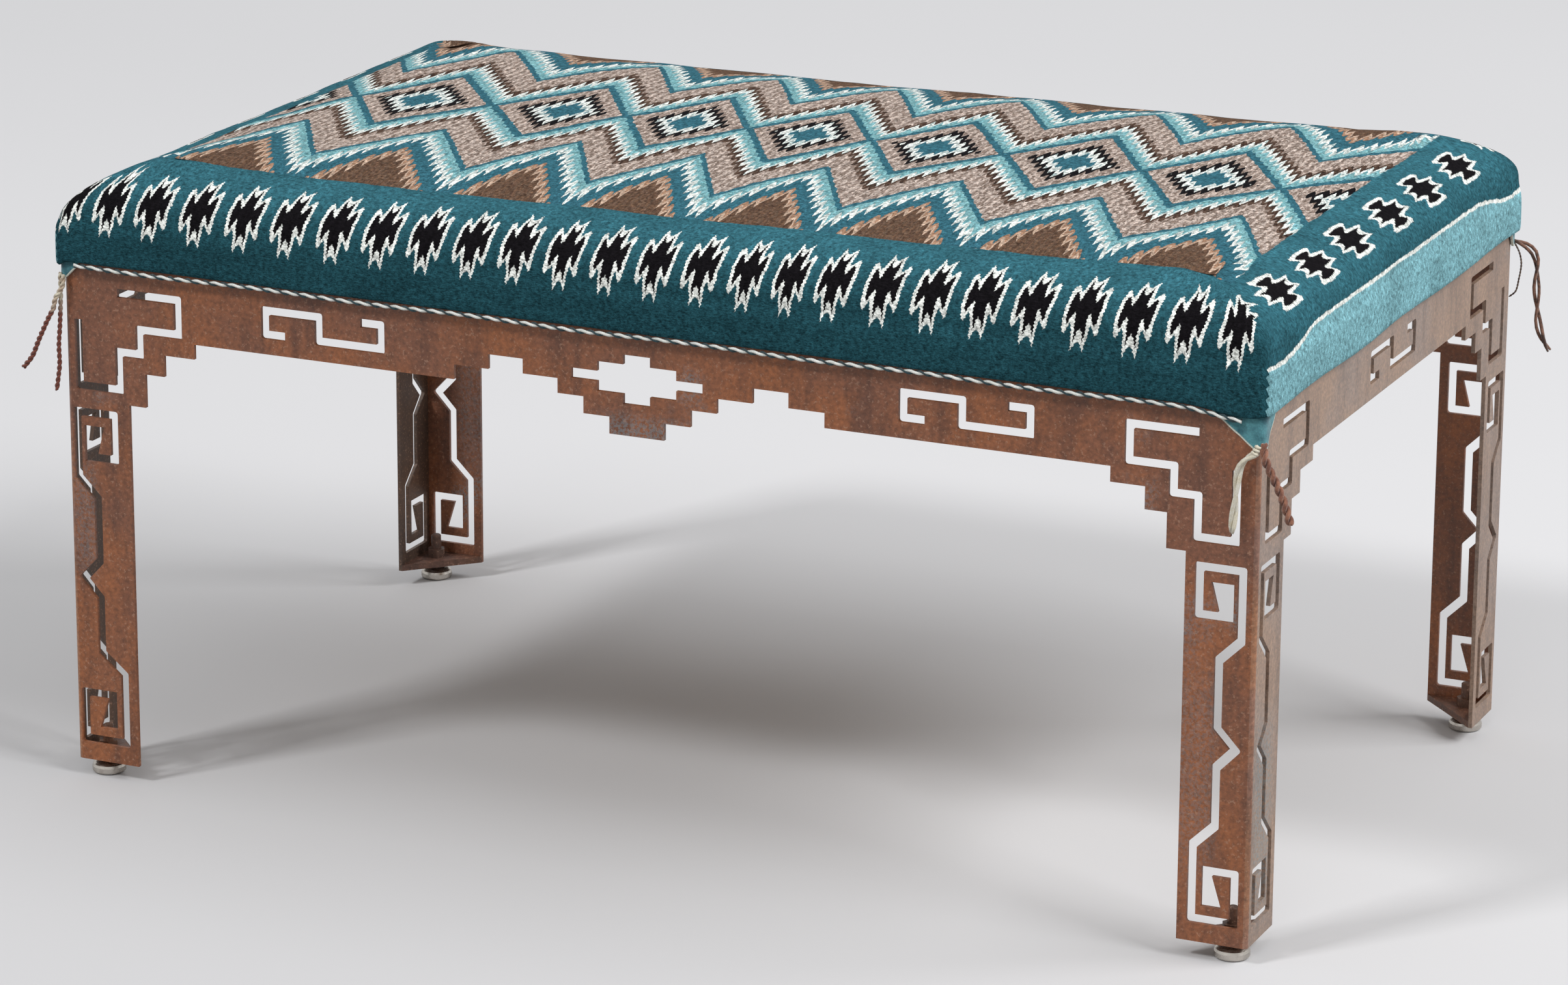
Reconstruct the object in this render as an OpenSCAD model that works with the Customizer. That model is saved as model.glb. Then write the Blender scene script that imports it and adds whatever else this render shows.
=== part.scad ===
// Garden-room bench: a frame of four pierced steel plates, an upholstered seat that
// wears a woven blanket, and four screw-in levelling glides.
// Millimetres, +Z up, origin on the floor under the middle of the seat,
// X along the length, -Y to the front.

/* [Frame] */
// Length over the outer faces of the end plates
bench_length = 914; // [820:1:1400]
// Depth over the outer faces of the front and back plates
bench_depth = 548; // [460:1:700]
// Height of the steel, from the foot of a leg to the frame's top edge
frame_h = 383; // [370:1:460]
// Depth of the plain apron, from its lower edge to the frame's top edge
apron_h = 55; // [52:0.5:75]
// Thickness of the frame plates
plate_t = 3; // [2:0.5:5]
// Width of one leaf of an angle-shaped leg
leaf_w = 51; // [48:1:64]

/* [Stepped edge] */
// Tread of the lowest step between a leg and the apron
step_low_w = 14; // [12:1:24]
// Riser of the lowest step
step_low_h = 25; // [18:1:32]
// Tread of the middle step
step_mid_w = 16; // [14:1:26]
// Riser of the middle step
step_mid_h = 16; // [10:1:20]
// Tread of the highest step
step_top_w = 25; // [22:1:34]
// Riser of the highest step
step_top_h = 11; // [8:1:16]
// Width of the pendant's lowest edge
pendant_w = 42; // [30:1:60]
// Tread of the pendant's two steps
pendant_tread = 20; // [14:1:28]
// Riser of the pendant's two steps
pendant_riser = 12.2; // [8:0.1:16]
// Tread of the raised steps beside the pendant
relief_tread = 27; // [18:1:34]
// Riser of the raised steps beside the pendant
relief_riser = 10.7; // [6:0.1:13]

/* [Cut lines] */
// Width of the cut lines
slot_w = 6.5; // [4:0.5:7.5]
// Steel left between a leg's corner edge and its cut line
corner_margin = 7.2; // [6:0.1:9]
// Shift of the front-left leg's cut line towards the corner
near_shift = 3; // [0:0.5:4]
// Steel left between a leg's free edge and its cut line
edge_margin = 6.8; // [5:0.5:9]
// Radius that the cutter leaves on the outer side of a bend
bend_r = 1.8; // [0.5:0.1:2.5]
// Upright strip of steel between the upper spiral's slot and its wedge
upper_strip_w = 2.4; // [2:0.1:5]
// Upright strip of steel between the lower spiral's slot and its wedge
lower_strip_w = 3.8; // [2:0.1:5]
// Level strip of steel between a spiral's slot and its wedge
strip_h = 6.5; // [4:0.1:8]
// Drop from the apron's lower edge to a leg's upper spiral
spiral_drop = 61.5; // [56:0.5:70]
// Height of the upper spiral between cut centres
upper_spiral_h = 33.5; // [28:0.5:38]
// Height of the lower spiral between cut centres
lower_spiral_h = 35.5; // [30:0.5:40]
// Height of the lowest cut's centre above the foot of a leg
foot_margin = 16.5; // [12:0.5:24]
// Rise of the slanted run that leads into a spiral
kink_h = 15; // [10:0.5:20]
// Straight run between a spiral and its slanted run
kink_lead = 15.5; // [10:0.5:20]
// Height of the arrow in the middle of a leg
arrow_h = 28; // [20:1:36]
// Drop of the arrow below the middle between the two slanted runs
arrow_drop = 3; // [0:0.5:8]
// Distance from the arrow's tip to the line of the near slot
arrow_tip_in = 2; // [0:0.5:5]
// Length of the straight run under the lower slanted run beyond that of the upper one
lower_lead_extra = 2; // [0:0.5:4]
// Width of the upper wedge at its wide end
upper_wedge_wide = 16.4; // [14:0.1:17]
// Width of the upper wedge at its narrow end
upper_wedge_narrow = 11; // [8:0.5:12]
// Width of the lower wedge at its wide end
lower_wedge_wide = 14.6; // [12:0.1:16]
// Width of the lower wedge at its narrow end
lower_wedge_narrow = 7.6; // [6:0.1:10]
// Upper arm of the stair-shaped cut above a leg
stair_arm_top = 32; // [28:1:34]
// Lower arm of the stair-shaped cut
stair_arm_low = 17.5; // [14:0.5:20]
// Steel between the stair-shaped cut's centre and the end of the highest step
stair_margin = 13; // [12:1:20]
// Height of the stair-shaped cut's top arm above the apron's lower edge
stair_top_z = 31; // [28:0.5:34]
// Drop of the stair-shaped cut's first riser
stair_drop_1 = 25.5; // [22:0.5:28]
// Drop of its second riser
stair_drop_2 = 18.5; // [15:0.5:20]
// Drop of its third riser
stair_drop_3 = 28.5; // [24:0.5:30]
// Inset of the hook that ends the stair-shaped cut, from the leg's corner
hook_inset = 16.5; // [12:0.5:20]
// The same inset on the left of the front plate, where the cut runs nearer the edge
hook_inset_near = 10.5; // [9:0.5:20]
// Length of that hook
hook_h = 49.5; // [30:0.5:55]
// Distance of a meander's outer upright from the corner of the frame
meander_inset = 164.5; // [140:0.5:180]
// Top arm of a meander between cut centres
meander_arm_top = 43; // [34:0.5:50]
// Bottom arm of a meander between cut centres
meander_arm_low = 49.5; // [40:0.5:56]
// Height of a meander between cut centres
meander_h = 17.5; // [14:0.5:20]
// Height of its lower arm above the apron's lower edge
meander_z = 14.5; // [10:0.5:16]
// Length of a meander's two tails
meander_tail = 16; // [10:0.5:22]
// Height of the stepped lozenge's centre above the apron's lower edge
lozenge_z = 16; // [12:0.5:18]
// Width of the lozenge's middle step
lozenge_core_w = 20.5; // [14:0.5:30]
// Tread of the lozenge's steps
lozenge_tread = 20; // [14:0.5:24]
// Riser of the lozenge's steps
lozenge_riser = 7; // [5:0.5:8]
// Height of the lozenge's outer arms
lozenge_arm_h = 7.4; // [5:0.2:9]

/* [Feet] */
// Thickness of the triangular foot plates
foot_plate_t = 5; // [3:0.5:8]
// Inset of a glide's axis from both outer faces of its corner
glide_inset = 16; // [15.5:0.5:18]
// Outer diameter of a glide's cup
cup_d = 25; // [20:0.5:27]
// Height of a glide's cup
cup_h = 8.2; // [7.5:0.1:10]
// Height of the collar between the cup and the foot plate
collar_h = 3.6; // [3:0.1:6]
// Width across the flats of the collar and of the weld nut
hex_af = 13; // [12:0.5:14]
// Diameter of the threaded stud
stud_d = 8; // [6:0.5:8.5]
// Radial clearance of the stud in its nut
stud_gap = 0.06; // [0.03:0.01:0.1]
// Height of the weld nut
nut_h = 6.5; // [5:0.5:8]
// Stud above the nut with the glide screwed home
stud_spare = 12; // [11:0.5:18]
// Thickness of the pad under a cup
pad_t = 2.2; // [1.6:0.1:2.6]
// Width of the cup's rim around the pad
rim_w = 2.4; // [1.6:0.1:3.4]
// Width of the shoulder that holds the stud's round foot in the cup
socket_lip = 1.6; // [1:0.1:2.2]
// Height at which the cup's rim clears the floor
pad_proud = 0.8; // [0.4:0.1:1.2]

/* [Seat] */
// Side of the triangular plates that carry the seat in the corners
gusset_w = 62; // [50:1:90]
// Thickness of the seat's carrying plates
gusset_t = 5; // [3:0.5:8]
// Width of the middle lugs that carry the seat
lug_w = 40; // [30:1:80]
// Reach of the middle lugs from the plate
lug_reach = 26; // [22:1:50]
// Thickness of the plywood deck
deck_t = 12; // [11:1:19]
// Shank diameter of the seat's wood screws
screw_d = 4.4; // [3.5:0.1:5]
// Grip of a screw in the deck
screw_grip = 9; // [6:0.5:10]
// Diameter of the washers
washer_d = 13; // [11:0.5:16]
// Thickness of the washers
washer_t = 1.2; // [0.8:0.1:2]
// Thickness of the woven cover
cover_t = 3; // [2:0.5:5]
// Distance of the cover's outer face from the frame's outer faces
cover_over = 7; // [6:0.5:9]
// Overlap of the long sides' hem below the frame's top edge
hem_drop = 4; // [3:0.5:8]
// Overlap of the short sides' hem below the frame's top edge
hem_drop_end = 7; // [0.5:0.5:10]
// Height of the cover's straight sides above the frame's top edge
side_h = 31; // [22:1:40]
// Height of the rounded shoulder
shoulder_h = 35; // [28:1:50]
// Reach of the rounded shoulder inwards from the side
shoulder_w = 58; // [36:1:64]
// Rise of the crown in the middle of the seat
crown_h = 6; // [2:0.5:14]
// Rise of the cushion's right end, and drop of its left end, from a level top
lean = 4.5; // [0:0.5:8]
// Draw of the shoulder inwards between the corners
draw_in = 2; // [0:0.5:6]
// Corner radius of the cover's sides
corner_r = 8; // [6:0.5:12]
// Diameter of the cord along the long edges of the weave
selvedge_d = 4; // [3:0.1:4]
// Width of the folded tab at each corner of the weave, on the long side
tab_w = 34; // [20:1:45]
// Width of the tab on the short side
tab_side_w = 20; // [10:1:40]
// Drop of the tabs' tips below the frame's top edge
tab_drop = 31; // [24:1:40]
// Drop of the front-left tab, which is folded shorter
tab_drop_short = 20; // [16:1:40]
// Thickness of the folded tab
tab_t = 2.2; // [1.5:0.1:2.4]
// Diameter of the thick corner tassels
tassel_d = 4.5; // [3:0.1:5]
// Diameter of the thin corner tassels
strand_d = 2.4; // [1.5:0.1:3]

/* [Hidden] */
$fn = 48;
// Clearance between pieces that lie against each other without being fixed
seat_gap = 0.3;
lift = cup_h + pad_proud + collar_h + 0.4;
half_l = bench_length / 2;
half_d = bench_depth / 2;
top_z = lift + frame_h;
deck_z = top_z + deck_t;
// Heights in a plate's own plane start at the foot of the leg
apron_z = frame_h - apron_h;
step_1_u = leaf_w + step_low_w;
step_2_u = step_1_u + step_mid_w;
step_3_u = step_2_u + step_top_w;
step_3_z = apron_z - step_top_h;
step_2_z = step_3_z - step_mid_h;
step_1_z = step_2_z - step_low_h;
corner_names = ["front_left", "front_right", "back_left", "back_right"];

// Cut lines of a leg, with u measured from the leg's outer corner
near_u = corner_margin + slot_w / 2;
far_u = leaf_w - edge_margin - slot_w / 2;
mid_u = (near_u + far_u) / 2;
upper_top_z = apron_z - spiral_drop;
upper_low_z = upper_top_z - upper_spiral_h;
upper_kink_z = upper_low_z - kink_lead;
lower_top_z = foot_margin + lower_spiral_h;
lower_kink_z = lower_top_z + kink_lead + lower_lead_extra;
arrow_z = (upper_kink_z + lower_kink_z) / 2 - arrow_drop;
upper_wedge_u = near_u + slot_w / 2 + upper_strip_w;
lower_wedge_u = far_u - slot_w / 2 - lower_strip_w;
// "s" shifts all but the lower spiral's far side towards the corner
function leg_cut(s) = [
    [upper_wedge_u + upper_wedge_narrow - s, upper_low_z], [far_u - s, upper_low_z],
    [far_u - s, upper_top_z], [near_u - s, upper_top_z],
    [near_u - s, upper_kink_z], [mid_u - s, upper_kink_z - kink_h],
    [mid_u - s, arrow_z + arrow_h / 2], [near_u + arrow_tip_in - s, arrow_z],
    [mid_u - s, arrow_z - arrow_h / 2],
    [mid_u - s, lower_kink_z + kink_h], [far_u, lower_kink_z],
    [far_u, foot_margin], [near_u - s, foot_margin],
    [near_u - s, lower_top_z], [lower_wedge_u - lower_wedge_narrow, lower_top_z]
];
function upper_wedge(s) = [
    [upper_wedge_u - s, upper_low_z - slot_w / 2],
    [upper_wedge_u - s, upper_top_z - slot_w / 2 - strip_h],
    [upper_wedge_u + upper_wedge_wide - s, upper_top_z - slot_w / 2 - strip_h]
];
lower_wedge = [
    [lower_wedge_u, lower_top_z + slot_w / 2],
    [lower_wedge_u, foot_margin + slot_w / 2 + strip_h],
    [lower_wedge_u - lower_wedge_wide, foot_margin + slot_w / 2 + strip_h]
];

// The stair-shaped cut follows the stepped edge at a steady distance
stair_0_u = step_3_u - stair_margin;
stair_1_u = stair_0_u - stair_arm_top;
stair_2_u = stair_1_u - stair_arm_low;
stair_1_z = apron_z + stair_top_z - stair_drop_1;
stair_2_z = stair_1_z - stair_drop_2;
stair_3_z = stair_2_z - stair_drop_3;
function stair_cut(hook_u) = [
    [stair_2_u, apron_z + stair_top_z], [stair_0_u, apron_z + stair_top_z],
    [stair_0_u, stair_1_z], [stair_1_u, stair_1_z],
    [stair_1_u, stair_2_z], [stair_2_u, stair_2_z],
    [stair_2_u, stair_3_z], [hook_u, stair_3_z], [hook_u, stair_3_z + hook_h]
];

// An S-shaped meander that starts with its left upright at x = 0
meander_cut = [
    [meander_tail, apron_z + meander_z], [0, apron_z + meander_z],
    [0, apron_z + meander_z + meander_h],
    [meander_arm_top, apron_z + meander_z + meander_h],
    [meander_arm_top, apron_z + meander_z],
    [meander_arm_top + meander_arm_low, apron_z + meander_z],
    [meander_arm_top + meander_arm_low, apron_z + meander_z + meander_h],
    [meander_arm_top + meander_arm_low - meander_tail, apron_z + meander_z + meander_h]
];
meander_w = meander_arm_top + meander_arm_low;

function unit(v) = v / norm(v);
function left_of(v) = [-v[1], v[0]];
function cross2(a, b) = a[0] * b[1] - a[1] * b[0];
// Offset of corner i of a path to one side: a mitre inside the bend, a small arc outside it
function corner_points(p, i, h) =
    let (a = unit(p[i] - p[i - 1]), b = unit(p[i + 1] - p[i]),
         half_turn = acos(max(-1, min(1, a * b))) / 2,
         out = unit(left_of(a) + left_of(b)) * sign(h),
         tip = p[i] + out * abs(h) / cos(half_turn), cut = bend_r * tan(half_turn))
    cross2(a, b) * h > 0 ? [tip]
    : [tip - a * cut, tip - out * bend_r * (1 / cos(half_turn) - 1), tip + b * cut];
function side_points(p, h) = concat(
    [p[0] + left_of(unit(p[1] - p[0])) * h],
    [for (i = [1 : len(p) - 2]) each corner_points(p, i, h)],
    [p[len(p) - 1] + left_of(unit(p[len(p) - 1] - p[len(p) - 2])) * h]);
function reversed(v) = [for (i = [len(v) - 1 : -1 : 0]) v[i]];
// A cut of steady width along a path; each end may carry a wedge's outline
module stroke(p, start_wedge = [], end_wedge = []) {
    polygon(concat(side_points(p, slot_w / 2), end_wedge,
        reversed(side_points(p, -slot_w / 2)), start_wedge));
}

// Right half of a plate's outline, from the middle of its lower edge to its top edge
function half_outline(half, pendant) = concat(
    pendant ? [
        [0, apron_z - 2 * pendant_riser],
        [pendant_w / 2, apron_z - 2 * pendant_riser],
        [pendant_w / 2, apron_z - pendant_riser],
        [pendant_w / 2 + pendant_tread, apron_z - pendant_riser],
        [pendant_w / 2 + pendant_tread, apron_z],
        [pendant_w / 2 + 2 * pendant_tread, apron_z],
        [pendant_w / 2 + 2 * pendant_tread, apron_z + relief_riser],
        [pendant_w / 2 + 2 * pendant_tread + relief_tread, apron_z + relief_riser],
        [pendant_w / 2 + 2 * pendant_tread + relief_tread, apron_z + 2 * relief_riser],
        [pendant_w / 2 + 2 * pendant_tread + 2 * relief_tread, apron_z + 2 * relief_riser],
        [pendant_w / 2 + 2 * pendant_tread + 2 * relief_tread, apron_z + relief_riser],
        [pendant_w / 2 + 2 * pendant_tread + 3 * relief_tread, apron_z + relief_riser],
        [pendant_w / 2 + 2 * pendant_tread + 3 * relief_tread, apron_z]
    ] : [[0, apron_z]],
    [
        [half - step_3_u, apron_z], [half - step_3_u, step_3_z],
        [half - step_2_u, step_3_z], [half - step_2_u, step_2_z],
        [half - step_1_u, step_2_z], [half - step_1_u, step_1_z],
        [half - leaf_w, step_1_z], [half - leaf_w, 0],
        [half - plate_t, 0], [half - plate_t, frame_h], [0, frame_h]
    ]);

// Quarter of the stepped lozenge
lozenge = [
    [0, lozenge_arm_h / 2 + 2 * lozenge_riser],
    [lozenge_core_w / 2, lozenge_arm_h / 2 + 2 * lozenge_riser],
    [lozenge_core_w / 2, lozenge_arm_h / 2 + lozenge_riser],
    [lozenge_core_w / 2 + lozenge_tread, lozenge_arm_h / 2 + lozenge_riser],
    [lozenge_core_w / 2 + lozenge_tread, lozenge_arm_h / 2],
    [lozenge_core_w / 2 + 2 * lozenge_tread, lozenge_arm_h / 2]
];
lozenge_outline = concat(
    lozenge,
    [for (i = [len(lozenge) - 1 : -1 : 0]) [lozenge[i][0], -lozenge[i][1]]],
    [for (i = [1 : len(lozenge) - 1]) [-lozenge[i][0], -lozenge[i][1]]],
    [for (i = [len(lozenge) - 1 : -1 : 1]) [-lozenge[i][0], lozenge[i][1]]]);

// Both legs' and both stairs' cuts at one end of a plate, for the right-hand end
module end_cuts(half, hook_u, shift) {
    translate([half, 0]) mirror([1, 0]) {
        stroke(leg_cut(shift), upper_wedge(shift), lower_wedge);
        stroke(stair_cut(hook_u));
    }
}

module plate_2d(half, pendant, hook_left, shift_left) {
    outline = half_outline(half, pendant);
    difference() {
        polygon(concat(
            outline,
            [for (i = [len(outline) - 2 : -1 : 1]) [-outline[i][0], outline[i][1]]]));
        end_cuts(half, hook_inset, 0);
        mirror([1, 0]) end_cuts(half, hook_left, shift_left);
        if (pendant) {
            translate([-half + meander_inset, 0]) stroke(meander_cut);
            translate([half - meander_inset - meander_w, 0]) stroke(meander_cut);
            translate([0, apron_z + lozenge_z]) polygon(lozenge_outline);
        } else {
            translate([-meander_w / 2, 0]) stroke(meander_cut);
        }
    }
}

// A plate standing in the XZ plane, its outer face at y = 0 and its thickness towards +Y
module plate(half, pendant, hook_left = hook_inset, shift_left = 0) {
    translate([0, plate_t, lift]) rotate([90, 0, 0])
        linear_extrude(plate_t) plate_2d(half, pendant, hook_left, shift_left);
}

module front_panel() {
    color("saddlebrown") translate([0, -half_d, 0])
        plate(half_l, true, hook_left = hook_inset_near, shift_left = near_shift);
}

module back_panel() {
    color("saddlebrown") rotate([0, 0, 180]) translate([0, -half_d, 0]) plate(half_l, true);
}

module right_panel() {
    color("rosybrown") rotate([0, 0, 90]) translate([0, -half_l, 0]) plate(half_d, false);
}

module left_panel() {
    color("rosybrown") rotate([0, 0, -90]) translate([0, -half_l, 0]) plate(half_d, false);
}

// Puts its children, drawn at the front-right corner, at the named corner
module at_corner(name) {
    mirror([name == "front_left" || name == "back_left" ? 1 : 0, 0, 0])
        mirror([0, name == "back_left" || name == "back_right" ? 1 : 0, 0])
            translate([half_l, -half_d, 0]) children();
}

// Ground weld that fills the open corner joint between two plates
module corner_welds() {
    color("peru") for (name = corner_names) at_corner(name)
        translate([-plate_t, plate_t, lift]) intersection() {
            cylinder(r = plate_t, h = frame_h);
            translate([0, -plate_t, 0]) cube([plate_t, plate_t, frame_h]);
        }
}

// Triangle that fits inside the two plates of a corner
module corner_triangle(side, t) {
    linear_extrude(t) polygon([
        [-plate_t, plate_t], [-plate_t, side], [-side, plate_t]]);
}

module foot_plate() {
    color("darkslategray") difference() {
        translate([0, 0, lift]) corner_triangle(leaf_w, foot_plate_t);
        translate([-glide_inset, glide_inset, lift - 1])
            cylinder(d = stud_d + 2 * stud_gap, h = foot_plate_t + 2);
    }
}
module foot_plate_front_left() at_corner("front_left") foot_plate();
module foot_plate_front_right() at_corner("front_right") foot_plate();
module foot_plate_back_left() at_corner("back_left") foot_plate();
module foot_plate_back_right() at_corner("back_right") foot_plate();

module hexagon(h) {
    cylinder(d = hex_af / cos(30), h = h, $fn = 6);
}

module foot_nuts() {
    color("gray") for (name = corner_names) at_corner(name)
        translate([-glide_inset, glide_inset, lift + foot_plate_t]) difference() {
            hexagon(nut_h);
            translate([0, 0, -1]) cylinder(d = stud_d + 2 * stud_gap, h = nut_h + 2);
        }
}

// Socket of a glide's cup, which holds the round foot of the stud
socket_r = stud_d / 2 + socket_lip;
neck_r = stud_d / 2 - 0.6;
socket_z = pad_t + 1.6;
lip_z = pad_proud + cup_h - socket_lip;
cup_r = cup_d / 2;
module glide_base() {
    color("silver") translate([-glide_inset, glide_inset, 0]) rotate_extrude() polygon([
        [0, pad_t], [cup_r - rim_w, pad_t], [cup_r - rim_w, pad_proud],
        [cup_r - rim_w / 4, pad_proud], [cup_r, pad_proud + 1],
        [cup_r, pad_proud + cup_h * 0.5], [cup_r - rim_w * 0.3, pad_proud + cup_h * 0.72],
        [cup_r - rim_w, pad_proud + cup_h * 0.9], [cup_r - rim_w * 1.7, pad_proud + cup_h],
        [neck_r + seat_gap, pad_proud + cup_h], [neck_r + seat_gap, lip_z],
        [socket_r + seat_gap, lip_z], [socket_r + seat_gap, socket_z], [0, socket_z]
    ]);
}
module glide_base_front_left() at_corner("front_left") glide_base();
module glide_base_front_right() at_corner("front_right") glide_base();
module glide_base_back_left() at_corner("back_left") glide_base();
module glide_base_back_right() at_corner("back_right") glide_base();

module glide_pad() {
    color("dimgray") translate([-glide_inset, glide_inset, 0])
        cylinder(r = cup_r - rim_w - 0.1, h = pad_t);
}
module glide_pad_front_left() at_corner("front_left") glide_pad();
module glide_pad_front_right() at_corner("front_right") glide_pad();
module glide_pad_back_left() at_corner("back_left") glide_pad();
module glide_pad_back_right() at_corner("back_right") glide_pad();

module glide_stud() {
    color("gainsboro") translate([-glide_inset, glide_inset, 0]) {
        translate([0, 0, socket_z + 0.1]) cylinder(r = socket_r, h = lip_z - socket_z - 0.2);
        translate([0, 0, lip_z - 0.2]) cylinder(r = neck_r, h = lift - lip_z);
        translate([0, 0, lift - collar_h - seat_gap / 2]) hexagon(collar_h);
        translate([0, 0, lift - 1]) cylinder(d = stud_d, h = foot_plate_t + nut_h + stud_spare);
        translate([0, 0, lift + foot_plate_t + nut_h + stud_spare - 1])
            cylinder(d1 = stud_d, d2 = stud_d - 2, h = 1);
    }
}
module glide_stud_front_left() at_corner("front_left") glide_stud();
module glide_stud_front_right() at_corner("front_right") glide_stud();
module glide_stud_back_left() at_corner("back_left") glide_stud();
module glide_stud_back_right() at_corner("back_right") glide_stud();

// Seat carriers: a triangular gusset in each corner and a lug in the middle of each long plate
screw_inset = gusset_w * 0.36;
hole_gap = 0.2;
module seat_gusset() {
    color("sienna") difference() {
        translate([0, 0, top_z - gusset_t]) corner_triangle(gusset_w, gusset_t);
        translate([-screw_inset, screw_inset, top_z - gusset_t - 1])
            cylinder(d = screw_d + 2 * hole_gap, h = gusset_t + 2);
    }
}
module seat_gusset_front_left() at_corner("front_left") seat_gusset();
module seat_gusset_front_right() at_corner("front_right") seat_gusset();
module seat_gusset_back_left() at_corner("back_left") seat_gusset();
module seat_gusset_back_right() at_corner("back_right") seat_gusset();

lug_hole_y = plate_t + lug_reach * 0.58;
module seat_lug() {
    color("sienna") difference() {
        translate([-lug_w / 2, plate_t, top_z - gusset_t]) cube([lug_w, lug_reach, gusset_t]);
        translate([0, lug_hole_y, top_z - gusset_t - 1])
            cylinder(d = screw_d + 2 * hole_gap, h = gusset_t + 2);
    }
}
module seat_lug_front() translate([0, -half_d, 0]) seat_lug();
module seat_lug_back() rotate([0, 0, 180]) translate([0, -half_d, 0]) seat_lug();

// Puts its children on the axis of each seat screw
module at_screws() {
    for (name = corner_names) at_corner(name)
        translate([-screw_inset, screw_inset, 0]) children();
    for (side = [0, 180]) rotate([0, 0, side])
        translate([0, -half_d + lug_hole_y, 0]) children();
}

module screw_washers() {
    color("silver") at_screws() translate([0, 0, top_z - gusset_t - washer_t]) difference() {
        cylinder(d = washer_d, h = washer_t);
        translate([0, 0, -1]) cylinder(d = screw_d + 2 * hole_gap, h = washer_t + 2);
    }
}

screw_head_h = 2.6;
module seat_screws() {
    color("silver") at_screws() translate([0, 0, top_z - gusset_t - washer_t]) {
        cylinder(d = screw_d, h = washer_t + gusset_t + screw_grip);
        rotate_extrude() polygon([
            [0, 0], [screw_d, 0], [screw_d, -screw_head_h * 0.4],
            [screw_d * 0.7, -screw_head_h], [0, -screw_head_h]]);
    }
}

// Plan of the deck, which fits inside the cover's side walls
module rounded_rect(hx, hy, r) {
    square([2 * hx, 2 * (hy - r)], center = true);
    square([2 * (hx - r), 2 * hy], center = true);
    for (sx = [-1, 1], sy = [-1, 1]) translate([sx * (hx - r), sy * (hy - r)]) circle(r);
}
deck_in = cover_over - cover_t - seat_gap;
module seat_deck() {
    color("burlywood") difference() {
        translate([0, 0, top_z]) linear_extrude(deck_t)
            rounded_rect(half_l + deck_in, half_d + deck_in, corner_r - cover_t - seat_gap);
        at_screws() translate([0, 0, top_z - 1]) cylinder(d = screw_d, h = screw_grip + 1);
    }
}

// Cushion form. A ring is a rounded rectangle around the seat at one height; "off" moves it
// inwards from the cover's outer face, for the cover's inner face and for the foam.
corner_steps = 4;
long_steps = 10;
short_steps = 6;
function ring(hx, hy, r, draw, z, lean_by = lean) = [
    for (q = [0 : 3])
        let (steps = q % 2 == 0 ? long_steps : short_steps,
             // side q runs from one corner to the next, anticlockwise from the back edge
             ax = hx - r, ay = hy - r,
             from = [[ax, ay], [-ax, ay], [-ax, -ay], [ax, -ay]][q],
             to = [[-ax, ay], [-ax, -ay], [ax, -ay], [ax, ay]][q],
             out = [[0, 1], [-1, 0], [0, -1], [1, 0]][q])
        each concat(
            [for (k = [0 : corner_steps - 1])
                let (a = 90 * q + 90 * k / corner_steps, x = from[0] + r * cos(a))
                [x, from[1] + r * sin(a), z + lean_by * x / half_l]],
            [for (k = [0 : steps - 1])
                let (t = k / steps, s = 2 * t - 1, p = from * (1 - t) + to * t,
                     o = r - draw * (1 - s * s), x = p[0] + out[0] * o)
                [x, p[1] + out[1] * o, z + lean_by * x / half_l]])
];
ring_n = 4 * corner_steps + 2 * long_steps + 2 * short_steps;
hem_z = top_z - hem_drop;
// The foam's and the hem's rings lie level; the hem is higher along the short sides
function end_rise(p) = abs(p[0]) > half_l ? hem_drop - hem_drop_end : 0;
side_z = top_z + side_h;
shoulder_angles = [0, 18, 36, 54, 72, 90];
plateau_scales = [0.8, 0.55, 0.28];
function shoulder_ring(a, off) =
    let (rx = shoulder_w - off, rz = shoulder_h - off,
         inset = rx * (1 - cos(a)))
    ring(half_l + cover_over - off - inset, half_d + cover_over - off - inset,
         corner_r - off + inset, draw_in * sin(a), side_z + rz * sin(a));
function plateau_ring(s, off) =
    let (hx = (half_l + cover_over - shoulder_w), hy = (half_d + cover_over - shoulder_w),
         r = corner_r - off + shoulder_w - off)
    ring(hx * (s + (1 - s) * 0.3 * s), hy * s, r * s, draw_in * s,
         side_z + shoulder_h - off + crown_h * (1 - s * s * s));
function wall_ring(z, off) =
    ring(half_l + cover_over - off, half_d + cover_over - off, corner_r - off, 0, z, 0);
function hem_ring(off) =
    [for (p = wall_ring(hem_z, off)) [p[0], p[1], p[2] + end_rise(p)]];
function skin(off, low_ring) = concat(
    low_ring,
    [for (a = shoulder_angles) each shoulder_ring(a, off)],
    [for (s = plateau_scales) each plateau_ring(s, off)],
    [[0, 0, side_z + shoulder_h - off + crown_h]]);
skin_rings = 1 + len(shoulder_angles) + len(plateau_scales);
// Faces of a skin whose first point has the number base; flip turns them over
function skin_faces(base, flip) = concat(
    [for (k = [0 : skin_rings - 2], i = [0 : ring_n - 1])
        let (j = (i + 1) % ring_n, a = base + k * ring_n + i, b = base + k * ring_n + j,
             c = a + ring_n, d = b + ring_n)
        each flip ? [[a, b, d], [a, d, c]] : [[a, d, b], [a, c, d]]],
    [for (i = [0 : ring_n - 1])
        let (j = (i + 1) % ring_n, top = base + skin_rings * ring_n,
             a = top - ring_n + i, b = top - ring_n + j)
        flip ? [a, b, top] : [a, top, b]]);
skin_count = skin_rings * ring_n + 1;

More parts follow.
